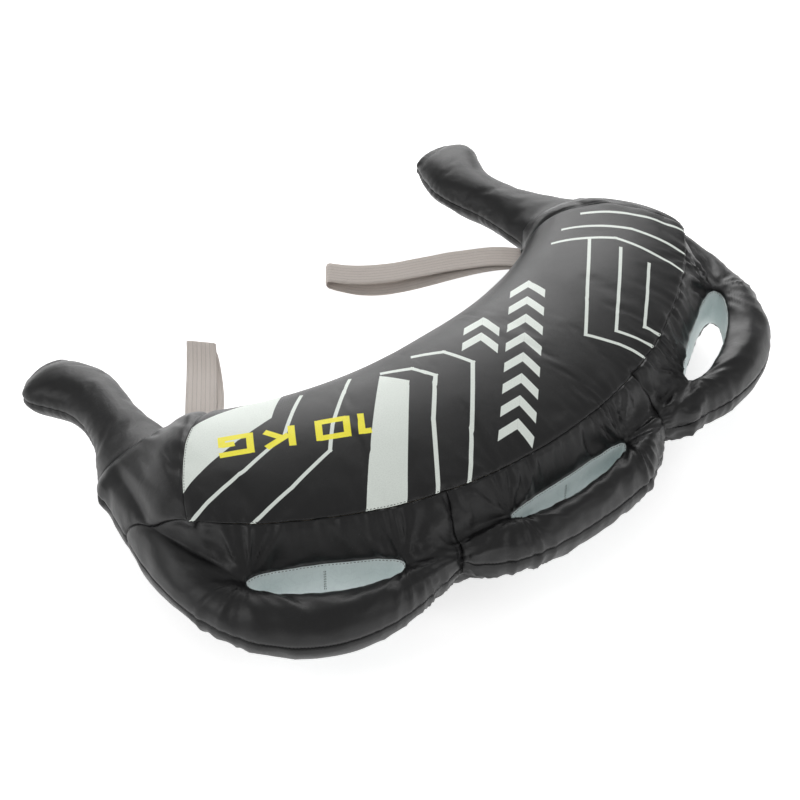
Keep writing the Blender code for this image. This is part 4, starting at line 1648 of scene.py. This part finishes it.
class ClothEffects:
    """Shader groups that several finishes share, each made when it is first used."""

    def start(self, name: str, inputs: Dict[str, float],
              outputs: Sequence[str]) -> Tuple[NodeSheet, Dict[str, NodeSocket], Node]:
        """An empty group that takes a place and some numbers.

        Args:
            name: Name of the group.
            inputs: Number inputs with their first values.
            outputs: Number outputs.

        Returns:
            The sheet, the inputs by name and the output node.
        """
        tree = bpy.data.node_groups.new(name, "ShaderNodeTree")
        tree.interface.new_socket(name="Place", in_out="INPUT", socket_type="NodeSocketVector")
        for key, value in inputs.items():
            socket = tree.interface.new_socket(name=key, in_out="INPUT", socket_type="NodeSocketFloat")
            socket.default_value = value
        for key in outputs:
            tree.interface.new_socket(name=key, in_out="OUTPUT", socket_type="NodeSocketFloat")
        source, sink = tree.nodes.new("NodeGroupInput"), tree.nodes.new("NodeGroupOutput")
        return NodeSheet(tree), {socket.name: socket for socket in source.outputs}, sink

    @cached_property
    def plain_weave(self) -> NodeTree:
        """Over-and-under threads.

        Returns:
            A group: place and threads per metre in, height and thread tone out.
        """
        sheet, put, sink = self.start("plain_weave", {"Threads": 2000.0}, ("Height", "Tone"))
        spot = sheet.add("VectorMath", operation="SCALE")
        sheet.fill(spot, Vector=put["Place"], Scale=put["Threads"])
        x, y, _ = sheet.axes(spot.outputs["Vector"])
        warp, weft = (sheet.math("SINE", sheet.times(axis, pi)) for axis in (x, y))
        over = sheet.times(warp, weft)
        sheet.fill(sink, Height=sheet.math("POWER", sheet.math("ABSOLUTE", over), 0.6),
                   Tone=sheet.span(over, -0.2, 0.2))
        return sheet.tree

    @cached_property
    def crumple(self) -> NodeTree:
        """Fine soft creases that handling leaves in coated cloth.

        Returns:
            A group: place, creases per metre and their bend in, height and crease mask out.
        """
        sheet, put, sink = self.start("crumple", {"Waves": 60.0, "Bend": 0.6}, ("Height", "Crease"))
        broad = sheet.noise(put["Place"], put["Waves"], 2.0, put["Bend"])
        fine = sheet.noise(put["Place"], sheet.times(put["Waves"], 2.7), 3.0, put["Bend"])
        folded = sheet.math("ABSOLUTE", sheet.math("SUBTRACT", broad, 0.5))
        ridge = sheet.math("SUBTRACT", 0.5, sheet.math("POWER", folded, 0.7))
        sheet.fill(sink, Height=sheet.math("ADD", sheet.times(ridge, 0.7), sheet.times(fine, 0.45)),
                   Crease=sheet.span(folded, 0.05, 0.0))
        return sheet.tree

    @cached_property
    def handling(self) -> NodeTree:
        """Uneven gloss and faint dust from handling.

        Returns:
            A group: place, patches and specks per metre in, gloss and dust masks out.
        """
        sheet, put, sink = self.start("handling", {"Patches": 14.0, "Specks": 900.0}, ("Gloss", "Dust"))
        gloss = sheet.span(sheet.noise(put["Place"], put["Patches"], 3.0), 0.3, 0.7)
        speck = sheet.span(sheet.noise(put["Place"], put["Specks"], 1.0), 0.66, 0.78)
        cloud = sheet.span(sheet.noise(put["Place"], sheet.times(put["Patches"], 2.2)), 0.45, 0.75)
        sheet.fill(sink, Gloss=gloss, Dust=sheet.times(speck, cloud))
        return sheet.tree

    @cached_property
    def print_bar(self) -> NodeTree:
        """One straight printed bar on the flat cloth.

        Returns:
            A group: place, the bar's start, turn and sizes in, mask out.
        """
        sizes = {"Start X": 0.0, "Start Y": 0.0, "Turn": 0.0, "Length": 0.01, "Half Width": 0.001,
                 "Overrun": 0.0, "Slant": 0.0}
        sheet, put, sink = self.start("print_bar", sizes, ("Mask",))
        edge_blur = 0.00012
        corner = sheet.fill(sheet.add("CombineXYZ"), X=put["Start X"], Y=put["Start Y"]).outputs[0]
        away = sheet.line_up(sheet.add("VectorMath", operation="SUBTRACT"), put["Place"], corner)
        turn = sheet.add("VectorRotate", rotation_type="Z_AXIS")
        sheet.fill(turn, Vector=away, Angle=sheet.times(put["Turn"], -1.0))
        ahead, across, _ = sheet.axes(turn.outputs[0])
        along = sheet.math("SUBTRACT", ahead, sheet.times(across, put["Slant"]))
        inside = sheet.math("SUBTRACT", put["Half Width"], sheet.math("ABSOLUTE", across))
        before = sheet.math("ADD", along, put["Overrun"])
        beyond = sheet.math("SUBTRACT", sheet.math("ADD", put["Length"], put["Overrun"]), along)
        least = sheet.math("MINIMUM", inside, sheet.math("MINIMUM", before, beyond))
        sheet.fill(sink, Mask=sheet.span(least, -edge_blur, edge_blur))
        return sheet.tree

    @cached_property
    def herringbone(self) -> NodeTree:
        """Slanting ribs that turn back in narrow columns, as in webbing.

        Returns:
            A group: place along and across the band in, height and furrow mask out.
        """
        sizes = {"Ribs": 820.0, "Columns": 250.0, "Slope": 1.0}
        sheet, put, sink = self.start("herringbone", sizes, ("Height", "Furrow"))
        along, across, _ = sheet.axes(put["Place"])
        column = sheet.times(across, put["Columns"])
        zigzag = sheet.math("PINGPONG", column, 1.0)
        lean = sheet.times(sheet.math("DIVIDE", zigzag, put["Columns"]), put["Slope"])
        spot = sheet.times(sheet.math("ADD", along, lean), put["Ribs"])
        rib = sheet.math("ABSOLUTE", sheet.math("SINE", sheet.times(spot, pi)))
        groove = sheet.math("ABSOLUTE", sheet.math("SUBTRACT", sheet.math("FRACT", column), 0.5))
        height = sheet.times(sheet.math("POWER", rib, 0.6), sheet.span(groove, 0.5, 0.40))
        sheet.fill(sink, Height=height, Furrow=sheet.math("SUBTRACT", 1.0, height, clamp=True))
        return sheet.tree


EFFECTS = ClothEffects()


@dataclass(frozen=True)
class CoatedCloth:
    """Satin coated black cloth."""

    name: str = "black_fabric"
    base: Colour = (0.0058, 0.0058, 0.0061, 1.0)
    crease: Colour = (0.0085, 0.0085, 0.0090, 1.0)  # where it is creased and rubbed
    dust: Colour = (0.12, 0.12, 0.12, 1.0)
    shares: Tuple[float, float, float] = (0.45, 0.16, 0.25)  # of creases, threads and dust
    roughness: Pair = (0.33, 0.43)  # least and greatest
    specular: float = 0.4
    threads: float = 2200.0  # per metre
    depth: float = 0.00005  # of the threads
    crumple: float = 0.0003  # depth of its fine creases
    waves: float = 60.0  # creases per metre

    def pattern(self, sheet: NodeSheet, place: NodeSocket, ground: NodeSocket) -> NodeSocket:
        """Colour of the cloth with what is printed on it; plain cloth has no print."""
        return ground

    def build(self) -> Material:
        """Lay the material's nodes.

        Returns:
            The material.
        """
        material, sheet, shader = new_material(self.name)
        body, place = sheet.add("TexCoord").outputs["Object"], sheet.flat_place()
        crumple = sheet.use(EFFECTS.crumple, Place=body, Waves=self.waves, Bend=0.7)
        weave = sheet.use(EFFECTS.plain_weave, Place=place, Threads=self.threads)
        worn = sheet.use(EFFECTS.handling, Place=body)
        ground, masks = self.base, (crumple["Crease"], weave["Tone"], worn["Dust"])
        for mask, share, colour in zip(masks, self.shares, (self.crease, self.crease, self.dust)):
            ground = sheet.colours(sheet.times(mask, share), ground, colour)
        folds = sheet.bump(crumple["Height"], self.crumple, 0.8)
        sheet.fill(shader, Base_Color=self.pattern(sheet, place, ground),
                   Roughness=sheet.span(worn["Gloss"], 0.0, 1.0, *self.roughness),
                   Specular_IOR_Level=self.specular,
                   Normal=sheet.bump(weave["Height"], self.depth, 0.5, folds))
        return material


@dataclass(frozen=True)
class Bar:
    """One printed bar on the flat cloth, in millimetres from the arc's centre."""

    start: Pair
    end: Pair
    width: float
    slant: float = 0.0  # how far its ends lean, as a share of the way across
    overrun: float = 0.0  # how far it runs past both ends


def stripe(width: float, *points: Pair) -> Tuple[Bar, ...]:
    """A thin printed line with bends, as one bar for each straight run between its points."""
    return tuple(Bar(start, end, width, overrun=width / 2) for start, end in zip(points, points[1:]))


@dataclass(frozen=True)
class ChevronRow:
    """A row of plain chevrons that point along one line."""

    tip: Pair  # of the first chevron
    turn: float  # direction of the row, in degrees
    pitch: float  # from one chevron to the next
    count: int
    half_span: float = 15.0  # half the row's breadth
    width: float = 7.6  # of a chevron's arms

    def bars(self) -> Tuple[Bar, ...]:
        """Two bars for each chevron, cut off along the row's direction.

        Returns:
            The bars.
        """
        ahead = np.array([cos(radians(self.turn)), sin(radians(self.turn))])
        beside = np.array([-ahead[1], ahead[0]])
        bars: List[Bar] = []
        for number in range(self.count):
            tip = np.array(self.tip) + ahead * self.pitch * number
            for side in (1, -1):
                end = tip + (beside * side - ahead) * self.half_span
                bars.append(Bar(tuple(tip), tuple(end), self.width, slant=float(side)))
        return tuple(bars)


@dataclass(frozen=True)
class WeightMark:
    """The plain weight, ten kilograms, in block figures."""

    corner: Pair = (-103.4, -278.4)  # foot of the first figure
    turn: float = 151.7  # reading direction, in degrees
    stretch: float = 1.14  # how much wider than drawn the figures are
    lean: float = 0.12  # how far the uprights lean back, as a share of the height
    stroke: float = 5.4
    strokes: Tuple[Tuple[float, float, float, float], ...] = (  # ends, along the line and up from it
        (9.6, 0.0, 9.6, 22.0), (3.0, 19.6, 9.6, 19.6), (19.4, 0.0, 19.4, 22.0),
        (38.6, 0.0, 38.6, 22.0), (19.4, 2.4, 38.6, 2.4), (19.4, 19.6, 38.6, 19.6),
        (57.0, 0.0, 57.0, 22.0), (59.0, 9.5, 74.5, 20.0), (63.5, 12.0, 75.0, 2.2),
        (85.0, 0.0, 85.0, 22.0), (85.0, 2.4, 104.5, 2.4), (85.0, 19.6, 106.0, 19.6),
        (103.6, 0.0, 103.6, 11.5), (95.0, 9.4, 103.6, 9.4),
    )

    def bars(self) -> Tuple[Bar, ...]:
        """One bar for each stroke, on the flat cloth.

        Returns:
            The bars.
        """
        along = np.array([cos(radians(self.turn)), sin(radians(self.turn))])
        up = np.array([-along[1], along[0]]) + along * self.lean

        def spot(run: float, rise: float) -> Pair:
            """A place on the cloth, from one along the line and up from it."""
            return tuple(np.array(self.corner) + along * run * self.stretch + up * rise)

        return tuple(Bar(spot(*ends[:2]), spot(*ends[2:]), self.stroke) for ends in self.strokes)


@dataclass(frozen=True)
class PrintedCloth(CoatedCloth):
    """The same cloth with a generic print of pale bars and a yellow weight mark."""

    name: str = "printed_fabric"
    pale: Colour = (0.80, 0.855, 0.80, 1.0)
    yellow: Colour = (1.0, 0.90, 0.04, 1.0)
    pale_bars: Tuple[Bar, ...] = ()
    yellow_bars: Tuple[Bar, ...] = ()

    def mask(self, sheet: NodeSheet, place: NodeSocket, bars: Sequence[Bar]) -> NodeSocket:
        """Mask of several bars.

        Args:
            sheet: The material's sheet.
            place: Place on the flat cloth.
            bars: The bars.

        Returns:
            A mask, 1 on a bar.
        """
        total: object = 0.0
        for bar in bars:
            run = Vector(bar.end) - Vector(bar.start)
            made = sheet.use(EFFECTS.print_bar, Place=place, Start_X=bar.start[0] / 1000,
                             Start_Y=bar.start[1] / 1000, Turn=float(np.arctan2(run.y, run.x)),
                             Length=run.length / 1000, Half_Width=bar.width / 2000,
                             Overrun=bar.overrun / 1000, Slant=bar.slant)
            total = sheet.math("MAXIMUM", made["Mask"], total)
        return total

    def pattern(self, sheet: NodeSheet, place: NodeSocket, ground: NodeSocket) -> NodeSocket:
        """Colour of the cloth with its print.

        Args:
            sheet: The material's sheet.
            place: Place on the flat cloth.
            ground: The plain cloth's colour.

        Returns:
            The colour.
        """
        tired = sheet.span(sheet.noise(place, 900.0, 2.0), 0.25, 0.62, 0.90, 1.0)
        for colour, bars in ((self.pale, self.pale_bars), (self.yellow, self.yellow_bars)):
            ground = sheet.colours(sheet.times(self.mask(sheet, place, bars), tired), ground, colour)
        return ground


# Widths of the printed lines, in millimetres
THIN, BROADER = 3.0, 3.6
PRINT = PrintedCloth(
    pale_bars=(
        Bar((-277.8, -224.7), (-149.6, -206.7), 40.0, slant=1.33, overrun=8.0),
        *stripe(THIN, (-295.0, -264.5), (-217.4, -260.7), (-171.8, -253.6), (-130.0, -218.6)),
        *stripe(THIN, (-262.0, -299.0), (-202.4, -295.7), (-155.8, -288.0), (-136.6, -268.7),
                (-90.0, -230.5)),
        Bar((-175.9, -368.3), (-65.4, -258.6), 25.0, slant=0.27),
        Bar((-161.3, -368.9), (-68.1, -265.0), 20.0, slant=0.27),
        *stripe(BROADER, (-122.0, -378.0), (-72.7, -314.7), (-39.4, -279.3), (-47.5, -259.5),
                (-68.0, -246.0)),
        *stripe(BROADER, (-94.0, -384.0), (-5.4, -287.5), (-14.5, -261.5), (-36.0, -247.0)),
        *ChevronRow((-20.0, -359.0), 44.0, 24.0, 8).bars(),
        *ChevronRow((22.0, -268.0), 44.0, 21.5, 2).bars(),
        *stripe(THIN, (205.0, -205.0), (280.0, -270.0)),
        *stripe(THIN, (178.0, -207.0), (224.0, -249.0), (262.0, -301.0)),
        *stripe(THIN, (158.0, -214.0), (202.0, -250.0), (238.0, -312.0)),
        *stripe(THIN, (182.0, -236.5), (133.2, -282.2), (93.9, -321.1), (113.3, -344.3), (132.0, -372.0)),
        *stripe(THIN, (196.0, -262.0), (121.0, -332.0), (134.0, -348.0), (150.0, -371.0)),
        *stripe(THIN, (206.0, -289.0), (149.0, -341.0), (168.0, -368.0))),
    yellow_bars=WeightMark().bars(), crumple=0.00015)


@dataclass(frozen=True)
class SoftCloth:
    """Uncoated cloth of one colour: lining, pouch canvas, wadding or thread."""

    name: str
    base: Colour
    shade: Colour  # in the furrows
    roughness: Pair = (0.55, 0.75)  # least and greatest
    threads: float = 1500.0  # per metre
    depth: float = 0.0001  # of the threads
    crumple: float = 0.0010  # depth of its creases
    sheen: float = 0.1
    grain: float = 0.35  # how strongly its threads show in the colour

    def build(self) -> Material:
        """Lay the material's nodes.

        Returns:
            The material.
        """
        material, sheet, shader = new_material(self.name)
        body = sheet.add("TexCoord").outputs["Object"]
        crumple = sheet.use(EFFECTS.crumple, Place=body, Waves=90.0, Bend=0.5)
        weave = sheet.use(EFFECTS.plain_weave, Place=body, Threads=self.threads)
        worn = sheet.use(EFFECTS.handling, Place=body)
        tone = sheet.times(weave["Tone"], self.grain)
        tone = sheet.math("ADD", tone, sheet.times(crumple["Crease"], 0.25), clamp=True)
        folds = sheet.bump(crumple["Height"], self.crumple)
        sheet.fill(shader, Base_Color=sheet.colours(tone, self.base, self.shade),
                   Roughness=sheet.span(worn["Gloss"], 0.0, 1.0, *self.roughness),
                   Sheen_Weight=self.sheen, Sheen_Roughness=0.5,
                   Normal=sheet.bump(weave["Height"], self.depth, 1.0, folds))
        return material


@dataclass(frozen=True)
class Webbing:
    """Ribbed taupe webbing with bound edges."""

    name: str = "taupe_webbing"
    base: Colour = (0.72, 0.645, 0.59, 1.0)
    furrow: Colour = (0.34, 0.30, 0.27, 1.0)  # painted shade between the ribs
    rubbed: Colour = (0.60, 0.56, 0.53, 1.0)
    width: float = 0.028
    binding: Pair = (0.0022, 0.0018)  # where it starts and is full, from the edge
    depth: float = 0.0005  # of the ribs

    def build(self) -> Material:
        """Lay the material's nodes.

        Returns:
            The material.
        """
        material, sheet, shader = new_material(self.name)
        place = sheet.flat_place()
        ribs = sheet.use(EFFECTS.herringbone, Place=place)
        worn = sheet.use(EFFECTS.handling, Place=place, Patches=30.0)
        fuzz = sheet.noise(place, 2500.0, 2.0)
        edge = sheet.math("ABSOLUTE", sheet.axes(place)[1])
        bound = sheet.span(edge, *(self.width / 2 - inset for inset in self.binding))
        # Painted shade: the webbing is darkened towards the furrow colour in the low furrows between its
        # ribs.
        tone = sheet.times(ribs["Furrow"], 0.75)
        tone = sheet.math("ADD", tone, sheet.span(fuzz, 0.3, 0.8, -0.12, 0.22), clamp=True)
        tone = sheet.times(tone, sheet.math("SUBTRACT", 1.0, sheet.times(bound, 0.6)))
        ground = sheet.colours(tone, self.base, self.furrow)
        height = sheet.math("ADD", ribs["Height"], sheet.times(fuzz, 0.25))
        ground = sheet.colours(sheet.times(worn["Gloss"], 0.12), ground, self.rubbed)
        sheet.fill(shader, Base_Color=ground, Roughness=sheet.span(fuzz, 0.2, 0.8, 0.72, 0.92),
                   Sheen_Weight=0.25, Sheen_Roughness=0.5, Normal=sheet.bump(height, self.depth))
        return material


# Studio

@dataclass(frozen=True)
class Studio:
    """Pale floor, soft lights and the photograph's camera."""

    azimuth: float = -41.45  # in degrees
    elevation: float = 42.6  # in degrees
    distance: float = 1.976
    aim: Tuple[float, float, float] = (0.0, 0.0153, 0.0222)
    lens: float = 99.0  # on a 36 mm sensor
    sky: float = 0.5  # strength of the soft light from all sides
    glow: float = 0.68  # strength of the floor's own light

    def hang(self, data: Union[Camera, Light], place: Vector, ahead: Vector) -> Object:
        """Hang a camera or a light in the scene.

        Args:
            data: Its data, whose name it takes.
            place: Where it hangs.
            ahead: The way it looks.

        Returns:
            The new object.
        """
        item = bpy.data.objects.new(data.name, data)
        set_all(item, location=place, rotation_mode="QUATERNION")
        item.rotation_quaternion = ahead.to_track_quat("-Z", "Y")
        bpy.context.scene.collection.objects.link(item)
        return item

    def camera(self) -> None:
        """Set up the camera."""
        turn, rise = radians(self.azimuth), radians(self.elevation)
        back = Vector((sin(turn) * cos(rise), -cos(turn) * cos(rise), sin(rise)))
        data = bpy.data.cameras.new("camera")
        set_all(data, lens=self.lens, sensor_width=36.0, clip_start=0.05, clip_end=30.0)
        bpy.context.scene.camera = self.hang(data, Vector(self.aim) + back * self.distance, -back)

    def lamp(self, name: str, place: Tuple[float, float, float], size: float, power: float) -> None:
        """A square area light aimed at the part.

        Args:
            name: Its name.
            place: Where it hangs.
            size: Its edge length.
            power: Its power in watts.
        """
        data = bpy.data.lights.new(name, "AREA")
        set_all(data, shape="SQUARE", size=size, energy=power)
        self.hang(data, Vector(place), Vector(self.aim) - Vector(place))

    def build(self) -> None:
        """Lay the floor and set up the lights, the sky and the camera."""
        self.camera()
        bpy.context.scene.view_settings.view_transform = "Standard"
        corners = np.array([[-6, -6, 0], [6, -6, 0], [6, 6, 0], [-6, 6, 0]], float)
        floor = add_object("floor", corners, [[0, 1, 2, 3]])
        material, sheet, shader = new_material("pale_floor")
        sheet.fill(shader, Base_Color=(0.93, 0.93, 0.93, 1.0), Roughness=0.9,
                   Emission_Color=(1.0, 1.0, 1.0, 1.0), Emission_Strength=self.glow)
        floor.data.materials.append(material)
        world = bpy.context.scene.world = bpy.data.worlds.new("soft_sky")
        world.use_nodes = True
        sheet = NodeSheet(world.node_tree)
        seen = sheet.add("LightPath").outputs["Is Camera Ray"]
        sheet.fill(world.node_tree.nodes["Background"], Color=(1.0, 1.0, 1.0, 1.0),
                   Strength=sheet.span(seen, 0.0, 1.0, self.sky, 1.0))
        self.lamp("over_light", (1.2, 1.3, 1.0), 1.5, 26.0)
        self.lamp("left_light", (-1.7, 0.5, 1.2), 0.8, 6.0)
        self.lamp("front_light", (0.5, -1.8, 1.1), 0.5, 3.0)


# The whole bag

FINISHES = (
    CoatedCloth(), PRINT,
    SoftCloth("grey_lining", (0.70, 0.785, 0.78, 1.0), (0.56, 0.63, 0.64, 1.0), (0.38, 0.55), 3000.0,
              0.00002, 0.0003, 0.15, 0.1),
    Webbing(),
    SoftCloth("sand_pouch", (0.48, 0.43, 0.34, 1.0), (0.34, 0.30, 0.23, 1.0), depth=0.0003),
    SoftCloth("wadding", (0.80, 0.79, 0.76, 1.0), (0.66, 0.65, 0.62, 1.0), (0.85, 0.95), 500.0, 0.0006,
              sheen=0.4),
    SoftCloth("thread", (0.009, 0.009, 0.010, 1.0), (0.005, 0.005, 0.005, 1.0), (0.55, 0.65), 4000.0,
              0.00005, 0.0001),
)


@dataclass
class BulgarianBag:
    """The dressed bag."""

    plan: CrescentPlan = field(default_factory=CrescentPlan)
    finishes: Dict[str, Material] = field(default_factory=dict)  # by slot
    cover: Optional[BVHTree] = None  # creased skin, uncut

    def make_finishes(self) -> None:
        """Build every material."""
        self.finishes = {finish.name: finish.build() for finish in FINISHES}

    def dress(self, item: Object, slot: str, body: str, nodes: Sequence[str] = (),
              finish: Optional[str] = None) -> None:
        """Give a piece its material, body and place among the solids.

        Args:
            item: The piece.
            slot: The record's material slot.
            body: The body that it moves with.
            nodes: Solids that it stands for.
            finish: Material, if it isn't the slot's own.
        """
        item.data.materials.clear()
        item.data.materials.append(self.finishes[finish or slot])
        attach(item, body)
        if nodes:
            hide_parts(*nodes)
        LOG.info("%s: %d faces, on %s", item.name, len(item.data.polygons), body)

    def sew_skin(self) -> None:
        """The body's panels, linings and stitches."""
        skin = FilledSkin(self.plan)
        whole = skin.build()
        lines = skin.chains(whole.data)
        self.cover = BVHTree.FromPolygons([tuple(p) for p in points_of(whole.data)],
                                          [tuple(face.vertices) for face in whole.data.polygons])
        beside = {"edge": (1.0,), "slot": (-1.0,), "slot_under": (-1.0,), "rim": (1.0, -1.0),
                  "end": (1.0,), "lining_seam": (0.6, -0.6)}
        seams = [(line, side) for name, sides in beside.items() for line in lines[name] for side in sides]
        stitches = Stitching().build("seam_stitches", self.cover, seams)
        for panel, item in skin.cut().items():
            word = panel.name.lower()
            if panel is Skin.PRINTED_TOP:
                self.dress(item, "printed_fabric", "bag", ["printed_top_panel"])
            elif word.endswith("lining"):
                self.dress(item, "grey_lining", "bag", [word.replace("lining", "slot_lining")])
            elif panel is Skin.BOTTOM:
                self.dress(item, "black_fabric", "bag", ["bottom_panel"])
            else:
                side, place, level = word.split("_")
                self.dress(item, "black_fabric", "bag", [f"{side}_{place}_panel_{level}"])
        self.dress(stitches, "black_fabric", "bag", finish="thread")

    def stuff(self) -> None:
        """The pouches, rolls and cores inside."""
        for name in ("left", "middle", "right"):
            for kind, slot in (("sand_pouch", "sand_pouch"), ("handle_roll", "wadding")):
                node = f"{name}_{kind}"
                self.dress(Filling(node).build(self.cover), slot, "bag", [node])
        for side in Side:
            node = f"{side.word}_grip_core"
            self.dress(Filling(node).build(), "wadding", f"{side.word}_grip", [node])

    def add_grips(self) -> None:
        """The horn grips' covers."""
        for side in Side:
            for item, level in zip(HornGrip(self.plan, side).build(), ("upper", "lower")):
                body = f"{side.word}_grip"
                self.dress(item, "black_fabric", body, [f"{body}_cover_{level}"])

    def add_straps(self) -> None:
        """The webbing loops."""
        for side in Side:
            item = StrapLoop(self.plan, side).build()
            self.dress(item, "taupe_webbing", f"{side.word}_strap", [f"{side.word}_strap_loop"])

    def build(self) -> None:
        """Make the whole bag in order."""
        self.make_finishes()
        self.sew_skin()
        self.stuff()
        self.add_grips()
        self.add_straps()


def main() -> None:
    """Build the bag and its studio."""
    logging.basicConfig(level=logging.INFO, format="%(message)s")
    BulgarianBag().build()
    Studio().build()


if __name__ == "__main__":
    main()
